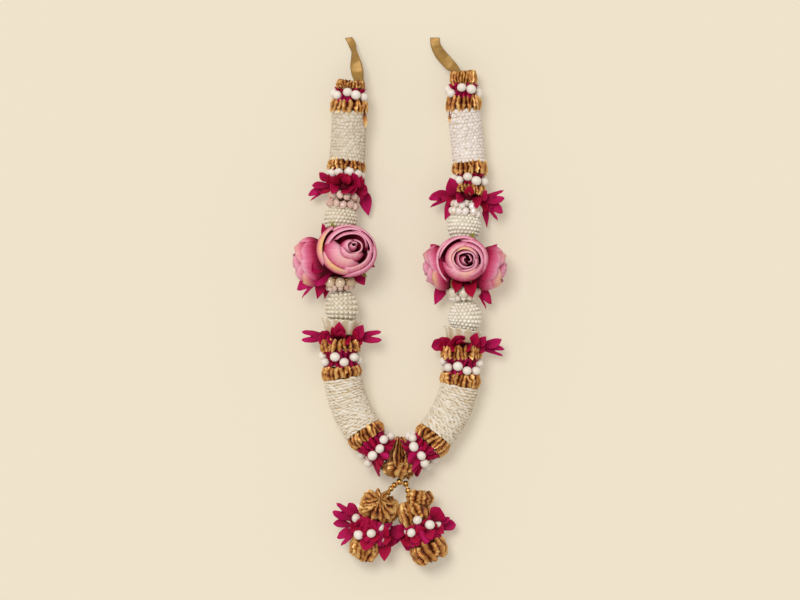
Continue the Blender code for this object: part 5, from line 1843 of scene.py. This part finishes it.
@dataclass
class RibbonTie:
    """A gold ribbon tie from its cut end to the cap, by its middle line and half widths.

    Its share for the flat length, full_length, is not used.
    """

    name: str
    rows: Sequence[tuple[Triple, Triple]]
    cap: str
    steps: int = 48
    columns: int = 9
    full_length: float = 1.25

    def build(self) -> Item:
        centres = Strand([centre for centre, _ in self.rows])
        halves = np.array([half for _, half in self.rows], float)
        share = np.linspace(0.0, 1.0, self.steps)
        line = centres.at(share * centres.length)
        knots = np.linspace(0.0, 1.0, len(halves))
        half = np.stack([np.interp(share, knots, halves[:, axis]) for axis in range(3)], -1) * MM
        u = np.linspace(-1.0, 1.0, self.columns)[None, :, None]
        way = unit(np.gradient(line, axis=0))
        normal = unit(np.cross(half, way))
        bow = (0.5 * np.sin(share * 21.0) + 0.25 * np.sin(share * 47.0))[:, None, None]
        grid = line[:, None, :] + half[:, None, :] * u + normal[:, None, :] * bow * (1 - u**2) * MM
        shells = Shells()
        # The number rise is a painted highlight where the ribbon faces up and along its middle, with
        # painted shade towards its edges.
        shine = 0.5 + 0.5 * np.abs(normal[:, 2:3]) * np.cos(u[..., 0])
        shells.sheet(grid, RIBBON_THICKNESS, rise=shine, across=u[..., 0])
        piece = shells.piece(f"{self.name}_cloth", [GOLD_RIBBON.material()])
        seat(piece, self.name)
        return piece


@dataclass
class CentreRuffle:
    """The gathered gold cloth over the place where the strands join."""

    name: str = "centre_ruffle"
    top: Triple = (0.0, -151.0, 24.0)
    foot: Triple = (0.0, -195.5, 23.0)

    def build(self) -> Item:
        """Build long folds that widen down to loops."""
        line = Strand([self.top, self.foot])
        shells = Shells()
        random = generator(self.name)
        outer = Gather(20, 6.5, 0.14, 1.0, 0.0, (0.26, 0.84, 0.5), 0.4, 0.3, 17)
        loops = Gather(12, 9.0, 0.2, 3.0, 1.4, (0.72, 1.0, 0.72), 0.5, 0.9, 9)
        heart = Gather(8, 4.0, 0.2, 1.0, 0.0, (0.3, 0.8, 0.35), 0.6, 0.3, 13)
        gathered(shells, line, (0.5, 43.5), 19.0, outer, random)
        gathered(shells, line, (25.0, 42.6), 20.0, loops, random)
        gathered(shells, line, (4.0, 42.0), 12.5, heart, random)
        # The core sleeve takes the darkest colour, as painted shade deep in the folds.
        sleeve(shells, line, (1.0, 44.0), 3.2, 0.6, rise=0.1)
        piece = shells.piece(f"{self.name}_tissue", [DEEP_TISSUE.material()], False)
        return seat(piece, self.name)


@dataclass
class GoldString:
    """The string of gold beads that hangs both pompons."""

    route: Sequence[Triple]
    radii: Sequence[float]
    thread: float = 1.5

    def build(self) -> Item:
        """Build the beads and their thread."""
        work = Beadwork(UnitShape.BEAD, GOLD_BEAD)
        points = np.array(self.route, float) * MM
        way = unit(np.gradient(points, axis=0))
        sizes = np.array(self.radii, float)[:, None] * np.array([0.9, 1.0, 1.0])
        work.add(points, np.array([0.0, 0.0, 1.0]), way, sizes, "open")
        piece = work.make("gold_bead_string_dressed", self.thread, GOLD_BEAD)
        return seat(piece, "gold_bead_string")


@dataclass
class Pompon:
    """A hanging pompon: a gold crown and foot, magenta petals and white beads."""

    plan: PomponPlan
    string_radius: float = 20.5
    crown_start: float = 2.4
    crown_share: float = 0.36
    cloth_share: float = 0.70
    strand: Strand = field(init=False)

    def __post_init__(self) -> None:
        """Lay out the axis and the three spans along it."""
        self.strand = Strand([self.plan.top, self.plan.foot])
        length = self.strand.length / MM
        crown_end, cloth_end = length * self.crown_share, length * self.cloth_share
        self.crown_span = (self.crown_start, crown_end)
        self.cloth_span = (crown_end + GAP, cloth_end)
        self.foot_span = (cloth_end + GAP, length)

    def build(self) -> None:
        """Build the gold, the petals and the beads."""
        plan, name = self.plan, f"{self.plan.side}_pompon"
        start, end = self.crown_span
        low, high = self.foot_span
        bands = [
            ((start - 0.5, end), plan.crown_radius, CROWN_GATHER),
            ((start - 1.5, end - 1.0), plan.crown_radius * 0.66, INNER_GATHER),
            ((start - 2.0, high - 2.0), plan.crown_radius * 0.36, CORE_GATHER),
            ((low, high), plan.foot_radius, FOOT_GATHER),
            ((low, high + 0.5), plan.foot_radius * 0.66, INNER_GATHER),
        ]
        Ruffles(f"{name}_ruffles", self.strand, bands, ROSETTES[plan.side]).build()
        self._petals(f"{name}_petals")
        place = (name, self.strand, self.cloth_span, self.string_radius)
        BeadedFrill(*place, plan.pixels, sink=6.0, slack=9.0).beads()

    def _petals(self, name: str) -> None:
        """Build the petals on a dense inner gather."""
        shells = Shells()
        random = generator(name)
        hub = self.string_radius - 4.8
        gather = Gather(13, 4.5, 0.26, 1.2, 1.4, (1.1, 1.0, 1.1), 0.45)
        gathered(shells, self.strand, self.cloth_span, hub + 2.4, gather, random)
        loose = Loose(16, 23.0, 10.0, 12.0)
        whorl_petals(shells, self.strand, self.cloth_span, hub, self.plan.petals, random, loose)
        piece = shells.piece(f"{name}_cloth", [MAGENTA_CLOTH.material()])
        seat(piece, name)


# What the garland is made of


@dataclass(frozen=True)
class Rose:
    """A rose by the share of its hub where it grows, its direction, size and sepals."""

    name: str
    along: float
    direction: Triple
    radius: float
    depth: float
    sepals: tuple[float, ...] = ()


@dataclass(frozen=True)
class StrandPlan:
    """Everything that differs between the two strands: sizes, and where white beads show."""

    side: str
    route: tuple[Triple, ...]
    lengths: dict[str, float]
    upper_radius: float
    beads: dict[str, tuple[Pixel, ...]]
    whorl_b: tuple[Petal, ...]
    cluster: tuple[Petal, ...]
    whorl_c: tuple[Petal, ...]
    roses: tuple[Rose, ...]


LEFT = StrandPlan(
    side="left",
    route=(
        (-53.4, 240.4, 21.0), (-55.0, 208.5, 20.5), (-56.1, 175.5, 18.1), (-58.3, 144.7, 20.7),
        (-61.1, 115.0, 22.5), (-64.4, 88.0, 24.0), (-65.2, 50.0, 28.0), (-64.9, 17.0, 25.0),
        (-63.3, -10.5, 23.0), (-64.9, -39.0, 23.0), (-64.4, -66.6, 23.0), (-61.2, -93.5, 22.0),
        (-51.7, -122.7, 19.5), (-33.7, -152.4, 22.0), (-17.2, -168.8, 23.0), (0.0, -177.0, 23.0),
    ),
    lengths={
        "cap": 9.0, "top_frill": 13.2, "top_ruffle": 10.0, "upper_tube": 55.0, "b_ruffle": 8.5,
        "b_frill": 12.5, "b_petals": 11.0, "crystals": 12.0, "upper_ball": 38.0, "cluster": 43.0,
        "pearl_ring": 15.0, "lower_ball": 39.0, "cup": 10.5, "c_petals": 6.0, "c_ruffle": 10.0,
        "c_frill": 17.8, "c2_ruffle": 12.8, "lower_tube": 61.0, "d_ruffle": 13.5, "d_frill": 18.5,
    },
    upper_radius=19.8,
    beads={
        "top": ((337.5, 95.5), (347.8, 90.4), (355.9, 95.5), (364.0, 97.5), (369.0, 107.0)),
        "b": ((332.5, 173.5), (339.0, 173.0), (349.5, 169.0), (357.5, 174.5), (363.5, 176.0)),
        "c": (
            (320.8, 355.4), (325.2, 361.9), (335.2, 356.5), (344.3, 361.6), (354.1, 356.9),
            (360.9, 360.1),
        ),
        "d": (
            (364.8, 467.1), (372.3, 467.1), (373.0, 455.5), (382.5, 450.5), (384.2, 439.6),
            (391.2, 435.7),
        ),
    },
    whorl_b=petal_rows(
        (-28, 14, 30, 8), (-36, 0, 25, 7), (-36.5, -13, 16, 9, True), (-6, 13, 46.5, 17),
        (14, 11, 45, 17), (4, -8, 47, 15), (25, -7, 27, 11), (26, -33, 10, 13), (2, 6, 1, 11),
    ),
    cluster=petal_rows(
        (-19.5, 36, 16, 9), (15, 34, 46, 8), (-31, -17, 55, 13), (-26, -33, 46, 15),
        (-41, -40, 30, 14, True), (-25, -47, 26, 13), (-17, -47, 12, 9), (38, -12, 25, 6),
        (27, -32, 30, 13), (25, 14, 9, 12), (12, -6, 1, 14),
    ),
    whorl_c=petal_rows(
        (-39.5, 2, 24, 12, True), (-9, 12.5, 48, 6), (-1, 17.5, 49.5, 12), (25, 14, 38, 12),
        (42, 2, 25, 12, True), (3, 7, 1, 11),
    ),
    roses=(
        Rose("rose_front", 0.52, (0.24, 0.10, 1.0), 29.0, 33.0, (140.0, 335.0)),
        Rose("rose_side", 0.60, (-1.0, -0.10, -0.02), 27.0, 46.0, (60.0, 300.0)),
    ),
)

RIGHT = StrandPlan(
    side="right",
    route=(
        (69.9, 250.3, 19.5), (70.4, 219.5, 20.0), (71.0, 201.9, 19.3), (74.8, 172.2, 16.9),
        (77.0, 142.5, 19.7), (76.5, 122.7, 21.0), (73.2, 101.8, 22.5), (71.0, 79.8, 24.0),
        (69.9, 42.4, 28.0), (70.2, 5.0, 25.0), (71.7, -21.5, 23.0), (68.2, -47.9, 23.0),
        (67.7, -75.4, 23.0), (64.9, -99.6, 22.0), (54.6, -127.0, 19.5), (34.4, -155.0, 22.0),
        (16.4, -169.3, 23.0), (0.0, -177.0, 23.0),
    ),
    lengths={
        "cap": 14.0, "top_frill": 14.0, "top_ruffle": 12.0, "upper_tube": 59.0, "b_ruffle": 12.0,
        "b_frill": 12.2, "b2_ruffle": 10.0, "b_petals": 6.5, "crystals": 9.5, "upper_ball": 38.0,
        "cluster": 46.0, "pearl_ring": 15.0, "lower_ball": 38.0, "cup": 9.0, "c_petals": 5.0,
        "c_ruffle": 11.5, "c_frill": 16.4, "c2_ruffle": 13.5, "lower_tube": 60.0, "d_ruffle": 13.5,
        "d_frill": 18.5,
    },
    upper_radius=18.6,
    beads={
        "top": ((451.0, 94.0), (461.5, 88.0), (471.0, 90.0), (480.0, 93.0), (483.0, 101.0)),
        "b": ((459.0, 181.0), (467.5, 178.0), (476.0, 182.0), (484.0, 183.5)),
        "c": ((443.3, 360.4), (448.1, 367.0), (457.7, 366.0), (466.8, 371.9), (475.6, 370.4)),
        "d": (
            (408.4, 435.5), (412.2, 438.0), (412.6, 447.0), (420.9, 455.5), (420.2, 465.7),
            (428.2, 469.3),
        ),
    },
    whorl_b=petal_rows(
        (-20, 21, 38, 14), (-39, -6, 24, 13, True), (-25, -25, 17, 11), (37, 3, 26, 12, True),
        (33, -20, 22, 13, True), (21, -33, 10, 7), (-3, 6, 1, 11),
    ),
    cluster=petal_rows(
        (-36, 22, 28, 11), (36, 17, 30, 13, True), (-9, -31, 52, 11), (10, -36, 51, 13),
        (-31, -44, 18, 12), (26, -44, 22, 11, True), (-14, 10, 1, 13), (14, -8, 1, 13),
    ),
    whorl_c=petal_rows(
        (-33, -2, 26, 12), (-7, 10, 49, 19), (17, 13, 45, 10), (27, 9, 38, 9), (44, 6, 26, 9),
        (43, -8, 18, 10, True), (-4, 6, 1, 11),
    ),
    roses=(
        Rose("rose_front", 0.36, (0.03, 0.02, 1.0), 26.0, 32.0, (20.0, 155.0, 205.0)),
        Rose("rose_inner", 0.50, (-1.0, -0.22, 0.0), 24.0, 38.0, (250.0,)),
        Rose("rose_outer", 0.50, (1.0, -0.22, 0.0), 24.0, 42.0, (110.0,)),
    ),
)


@dataclass(frozen=True)
class PomponPlan:
    """One hanging pompon, by its axis, its petals and where its white beads show."""

    side: str
    top: Triple
    foot: Triple
    crown_radius: float
    foot_radius: float
    pixels: tuple[Pixel, ...]
    petals: tuple[Petal, ...]
    string: tuple[Triple, ...]


POMPONS = (
    PomponPlan(
        side="left",
        top=(-18.0, -215.0, 30.0),
        foot=(-42.0, -282.5, 19.0),
        crown_radius=22.0,
        foot_radius=17.0,
        pixels=((354.2, 502.4), (356.5, 516.9), (372.3, 529.9), (358.3, 535.0)),
        petals=petal_rows(
            (-25, 28, 34, 12), (-38, 22, 30, 14, True), (-42, 5, 22, 8), (-34, -14, 24, 13, True),
            (-8, -24, 42, 14), (14, -36, 24, 12), (26, -18, 18, 14), (36, -3, 26, 14),
            (33, -12, 14, 14), (-3, -4, 1, 12),
        ),
        string=(
            (-5.6, -203.6, 25.0), (-9.4, -207.5, 25.5), (-12.8, -212.0, 27.5),
        ),
    ),
    PomponPlan(
        side="right",
        top=(10.0, -221.0, 22.0),
        foot=(36.5, -285.0, 19.0),
        crown_radius=19.0,
        foot_radius=21.0,
        pixels=((411.0, 531.4), (417.0, 518.6), (429.5, 523.5), (442.2, 522.2)),
        petals=petal_rows(
            (20, 27, 34, 18), (31, 16, 27, 6), (38, 8, 16, 11), (-5, 12, 38, 13), (-27, 5, 32, 14),
            (-24, -8, 26, 13), (-17, -20, 16, 12), (9, 2, 1, 12),
        ),
        string=(
            (6.9, -202.1, 24.0), (9.6, -209.7, 23.5),
        ),
    ),
)

CROWN_GATHER = Gather(15, 7.5, 0.2, 2.6, 0.6, (0.8, 1.0, 0.88), 0.45, 0.9, 9)
FOOT_GATHER = Gather(14, 7.5, 0.2, 2.6, 0.0, (0.9, 1.0, 0.85), 0.45, 0.9, 9)
INNER_GATHER = Gather(9, 5.5, 0.26, 1.6, 0.8, (0.7, 1.0, 1.0), 0.5, 0.5)
CORE_GATHER = Gather(7, 3.5, 0.24, 1.0, 0.8, (0.6, 1.0, 1.0), 0.5, 0.5)
FAN = Gather(15, 8.0, 0.14, 2.0, 0.0, (0.04, 0.68, 1.0), 0.45, 1.3, 11, 0.5)
BUNCH = Gather(11, 6.0, 0.18, 1.4, 0.0, (0.8, 1.0, 0.8), 0.45, 0.5, 9)
ROSETTES = {
    "left": (
        Rosette((-22.0, -220.0, 55.0), (-24.0, -225.0, 44.0), 20.5, FAN),
        Rosette((-21.0, -219.0, 57.0), (-22.0, -221.0, 49.0), 12.0, FAN),
    ),
    "right": (
        Rosette((22.5, -210.5, 25.0), (22.0, -225.0, 26.0), 15.5, BUNCH),
        Rosette((8.0, -223.0, 27.0), (12.0, -236.0, 27.0), 12.5, BUNCH),
    ),
}

# Where the gold strings knot, how far they run into a pompon, and the radii of their beads on
# the left, at the knot, on the right and at both ends
STRING_KNOT = (0.0, -199.8, 23.5)
STRING_INSET = 5.0
GOLD_BEAD_RADII = (3.3, 4.0, 3.6, 1.6)

RIBBONS = {
    "left": (
        ((-56.1, 288.3, 1.0), (4.0, 0.5, 0.4)),
        ((-53.0, 283.0, 3.0), (4.0, 1.0, 2.0)),
        ((-50.8, 276.5, 7.0), (2.6, 1.0, 4.2)),
        ((-49.2, 268.5, 12.0), (4.6, 1.4, 2.6)),
        ((-47.8, 258.5, 17.0), (6.6, 1.6, 0.6)),
        ((-46.2, 249.5, 20.5), (6.6, 1.8, -0.6)),
        ((-44.6, 241.2, 26.0), (5.2, 0.8, -1.6)),
        ((-42.8, 234.5, 32.0), (3.6, 0.6, -2.4)),
    ),
    "right": (
        ((38.8, 288.3, 1.0), (5.2, 0.0, 0.4)),
        ((39.6, 280.5, 3.0), (5.2, 1.6, 0.8)),
        ((43.6, 272.0, 8.0), (5.0, 3.6, 2.6)),
        ((49.5, 264.5, 13.0), (4.6, 4.4, 2.0)),
        ((56.0, 257.5, 17.0), (4.2, 4.6, 0.4)),
        ((61.6, 252.4, 22.6), (3.4, 3.0, 0.0)),
        ((65.4, 247.0, 31.0), (3.0, 2.2, 0.0)),
    ),
}

ROSE_STYLES = {
    "left_rose_front": RoseStyle(CABBAGE, 0.0, (7.0, 6.0), (0.90, 1.04), (2.5, 4.5)),
    "left_rose_side": RoseStyle(OPEN_BUD, 30.0, (0.0, 0.0), (0.96, 0.84)),
    "right_rose_front": RoseStyle(RANUNCULUS, 0.0, (0.0, 4.0), (0.93, 1.0), (0.0, -2.0)),
    "right_rose_inner": RoseStyle(OPEN_BUD, 10.0),
    "right_rose_outer": RoseStyle(OPEN_BUD, -20.0),
}

CAP_TAILS = {
    "left": ((-38.6, 209.0, 33.0), (-37.2, 189.0, 31.0), 4.6),
    "right": ((55.5, 207.0, 29.5), (56.4, 192.5, 28.0), 5.0),
}

FINE_PEARLS = PearlLayout(2.2, 4.25, 4.3, 0.5)
FINISHES = {
    "left": StrandFinishes(BUD_CLOTH, PEARL, DUSKY_PEARL, DUSKY_CRYSTAL, DUSKY_BASE),
    "right": StrandFinishes(PALE_BUD_CLOTH, PALE_PEARL, PEARL, CRYSTAL, PEARL_BASE),
}
PEARL_LAYOUTS = {
    "left": PearlLayout(2.55, 5.0, 5.3, 0.0),
    "right": PearlLayout(2.25, 4.4, 4.4, 0.5),
}

PLAIN_GATHER = Gather(26, 5.0, 0.2, 1.2, 0.0, (0.9, 1.0, 0.9), 0.4, 1.1)
POINTED_GATHER = Gather(22, 5.0, 0.14, 0.8, 2.4, (0.86, 0.98, 0.94), 0.4, 0.6)

# The radius of each ruffle and frill, and of the lower tube. The top radii are the left
# strand's, and the right strand's are less by as much as its upper tube is slimmer.
TOP_RADII = {"cap": 16.5, "top_ruffle": 21.5, "top_frill": 17.2, "b_ruffle": 21.5}
RADII = {
    "b2_ruffle": 18.5, "b_frill": 16.4, "c_ruffle": 23.4, "c2_ruffle": 22.8, "c_frill": 19.5,
    "lower_tube": 21.3, "d_ruffle": 22.4, "d_frill": 19.2,
}
# How far off the strand a rose grows
ROSE_ROOT = 6.4


@dataclass
class GarlandStrand:
    """One strand with every piece that is threaded on it, and its ribbon tie."""

    plan: StrandPlan
    strand: Strand = field(init=False)
    spans: dict[str, Span] = field(init=False)
    radii: dict[str, float] = field(init=False)

    def __post_init__(self) -> None:
        """Lay out where each piece starts and ends along the strand, and its radius."""
        self.strand = Strand(self.plan.route)
        slim = self.plan.upper_radius / LEFT.upper_radius
        self.radii = {**RADII, **{name: radius * slim for name, radius in TOP_RADII.items()}}
        self.spans = {}
        distance = 0.0
        for name, length in self.plan.lengths.items():
            self.spans[name] = (distance, distance + length)
            distance += length + GAP

    def build(self) -> None:
        """Build every piece."""
        self._upper_half()
        self._flowers()
        self._lower_half()
        side = self.plan.side
        RibbonTie(f"{side}_ribbon_tie", RIBBONS[side], f"{side}_top_ruffles").build()

    def _frill(self, label: str, **words: float) -> None:
        """Build a frill with its bead string.

        Args:
            label: The band that it belongs to.
            **words: What differs from other frills.
        """
        span = f"{label}_frill"
        place = (f"{self.plan.side}_{label}", self.strand, self.spans[span], self.radii[span])
        BeadedFrill(*place, self.plan.beads[label], **words).build()

    def _ruffles(self, label: str, gathers: dict[str, Gather], *tails: Tail) -> None:
        """Build gathered gold ribbons that are one solid, each in its own span.

        Args:
            label: Their name without the side.
            gathers: How each is gathered, by the name of its span.
            *tails: Ribbon ends that hang from them.
        """
        bands = [(self.spans[span], self.radii[span], how) for span, how in gathers.items()]
        Ruffles(f"{self.plan.side}_{label}", self.strand, bands, tails=tails).build()

    def _whorl(
        self, label: str, span: str, hub: float, rows: Sequence[Petal], loose: Loose
    ) -> None:
        """Build a whorl of petals on its hub.

        Args:
            label: Its name without the side.
            span: Name of its span.
            hub: Radius of its hub.
            rows: Its petals.
            loose: The short petals between them.
        """
        name = f"{self.plan.side}_{label}"
        PetalWhorl(name, self.strand, self.spans[span], hub, rows, loose).build()

    def _upper_half(self) -> None:
        """Build from the cap down to the petals over the upper pearl ball."""
        plan, strand, spans, side = self.plan, self.strand, self.spans, self.plan.side
        finishes = FINISHES[side]
        top = {"cap": PLAIN_GATHER, "top_ruffle": POINTED_GATHER}
        self._ruffles("top_ruffles", top, CAP_TAILS[side])
        self._frill("top")
        upper, tube = f"{side}_upper_tube", spans["upper_tube"]
        BudTube(upper, strand, tube, plan.upper_radius, TIPS, finishes.tube).build()
        pair = {"b_ruffle": POINTED_GATHER, "b2_ruffle": PLAIN_GATHER}
        self._ruffles("b_ruffles", {span: how for span, how in pair.items() if span in spans})
        self._frill("b")
        ball = spans["upper_ball"]
        PearlBall(f"{side}_upper_pearl_ball", strand, ball, FINE_PEARLS, finishes.pearl).build()
        crystals = spans["crystals"]
        CrystalCluster(f"{side}_crystal_cluster", strand, crystals, ball, finishes).build()
        self._whorl("upper_petals", "b_petals", 9.0, plan.whorl_b, Loose(12, 22.5, 12.0, 11.0))

    def _flowers(self) -> None:
        """Build the roses, the petals between them, and the ring, ball and cup below."""
        plan, strand, spans, side = self.plan, self.strand, self.spans, self.plan.side
        start, end = spans["cluster"]
        for rose in plan.roses:
            distance = np.array([(start + (end - start) * rose.along) * MM])
            centre, along, _, _ = (part.reshape(3) for part in strand.frames(distance))
            way = unit(np.array(rose.direction))
            out = unit(way - along * (way @ along))
            name = f"{side}_{rose.name}"
            style = ROSE_STYLES[name]
            root = centre + out * ROSE_ROOT * MM + np.array([*style.shift, 0.0]) * MM
            size = (rose.radius, rose.depth)
            ClothRose(name, root, rose.direction, *size, style, rose.sepals).build()
        self._whorl("rose_petals", "cluster", 6.0, plan.cluster, Loose(9, 20.0, 24.0, 12.0))
        finishes = FINISHES[side]
        PearlRing(f"{side}_pearl_ring", strand, spans["pearl_ring"], finishes).build()
        lower = spans["lower_ball"]
        layout = PEARL_LAYOUTS[side]
        PearlBall(f"{side}_lower_pearl_ball", strand, lower, layout, finishes.pearl).build()
        CrystalCup(f"{side}_crystal_cup", strand, spans["cup"]).build()

    def _lower_half(self) -> None:
        """Build from the petals below the cup down to the last bead string."""
        loose = Loose(14, 25.0, 7.0, 11.0)
        self._whorl("lower_petals", "c_petals", 9.0, self.plan.whorl_c, loose)
        self._ruffles("c_ruffles", {"c_ruffle": POINTED_GATHER, "c2_ruffle": PLAIN_GATHER})
        self._frill("c")
        name, radius = "lower_tube", self.radii["lower_tube"]
        tube = (f"{self.plan.side}_{name}", self.strand, self.spans[name], radius)
        BudTube(*tube, STRIPS, STRIP_CLOTH).build()
        self._ruffles("d_ruffle", {"d_ruffle": PLAIN_GATHER})
        self._frill("d", spread=1.22, extend=8.0)


CORNERS = ((-1, -1), (1, -1), (1, 1), (-1, 1))


@dataclass
class Studio:
    """A plain pale table under soft light, seen straight from above through a long lens.

    Lengths are in metres, apart from the sensor's width in millimetres. The table has a glow
    of its own and a base colour that is a shade of its display colour.
    """

    floor: Colour = (239, 228, 206)
    half_table: float = 4.0
    sensor: float = 36.0
    frame_width: float = 0.88
    centre: tuple[float, float] = (0.00055, -0.00033)
    height: float = 12.0
    far: float = 50.0
    glow: float = 0.3
    sky: float = 0.6
    shade: float = 0.66

    def build(self) -> None:
        """Build the table, the lights and the camera."""
        self._table()
        self._sun("key", (-0.45, 0.6, 1.6), 26.0, 1.6)
        self._camera()
        bpy.context.scene.view_settings.view_transform = "Standard"

    def _table(self) -> None:
        """Build the table top."""
        material = bpy.data.materials.new("table")
        material.use_nodes = True
        bright = linear(self.floor)
        values = {
            "Base Color": (*(channel * self.shade for channel in bright[:3]), 1.0),
            "Roughness": 0.95,
            "Specular IOR Level": 0.0,
            "Emission Color": bright,
            "Emission Strength": self.glow,
        }
        for name, value in values.items():
            material.node_tree.nodes["Principled BSDF"].inputs[name].default_value = value
        mesh = bpy.data.meshes.new("table")
        corners = [(x * self.half_table, y * self.half_table, 0) for x, y in CORNERS]
        mesh.from_pydata(corners, [], [(0, 1, 2, 3)])
        mesh.materials.append(material)
        link("table", mesh)

    def _sun(
        self, name: str, place: Triple, softness: float, strength: float
    ) -> None:
        """Build one soft even light.

        Args:
            name: Its name.
            place: Where it is seen from the garland.
            softness: How wide it looks, in degrees.
            strength: How strong it is.
        """
        lamp = bpy.data.lights.new(name, "SUN")
        lamp.angle = math.radians(softness)
        lamp.energy = strength
        item = bpy.data.objects.new(name, lamp)
        bpy.context.scene.collection.objects.link(item)
        item.location = place
        item.rotation_euler = Vector(place).to_track_quat("Z", "Y").to_euler()

    def _camera(self) -> None:
        """Build the camera and the light that comes from all sides."""
        lens = bpy.data.cameras.new("camera")
        lens.sensor_width = self.sensor
        lens.lens = self.sensor * self.height / self.frame_width
        lens.clip_end = self.far
        item = bpy.data.objects.new("camera", lens)
        item.location = (*self.centre, self.height)
        bpy.context.scene.collection.objects.link(item)
        bpy.context.scene.camera = item
        world = bpy.data.worlds.new("daylight")
        world.use_nodes = True
        sky = world.node_tree.nodes["Background"]
        sky.inputs["Color"].default_value = (1.0, 0.975, 0.95, 1.0)
        sky.inputs["Strength"].default_value = self.sky
        bpy.context.scene.world = world


def build_string() -> None:
    """Build the gold bead string over the knot below the centre ruffle."""
    left, right = POMPONS
    inset = np.array(STRING_INSET * MM)
    climb = [tuple(Strand([left.top, left.foot]).at(inset) / MM), *reversed(left.string)]
    down = [*right.string, tuple(Strand([right.top, right.foot]).at(inset) / MM)]
    at_left, at_knot, at_right, at_ends = GOLD_BEAD_RADII
    radii = [at_left] * len(climb) + [at_knot] + [at_right] * len(down)
    radii[0] = radii[-1] = at_ends
    GoldString([*climb, STRING_KNOT, *down], radii).build()


def main() -> None:
    """Dress the whole garland."""
    logging.basicConfig(level=logging.INFO, format="%(name)s: %(message)s")
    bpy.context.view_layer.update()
    for plan in (LEFT, RIGHT):
        GarlandStrand(plan).build()
    CentreRuffle().build()
    build_string()
    for pompon in POMPONS:
        Pompon(pompon).build()
    cord = bpy.data.objects["core_cord"]
    cord.data.materials.clear()
    cord.data.materials.append(CORD_FIBRE.material())
    Studio().build()


if __name__ == "__main__":
    main()
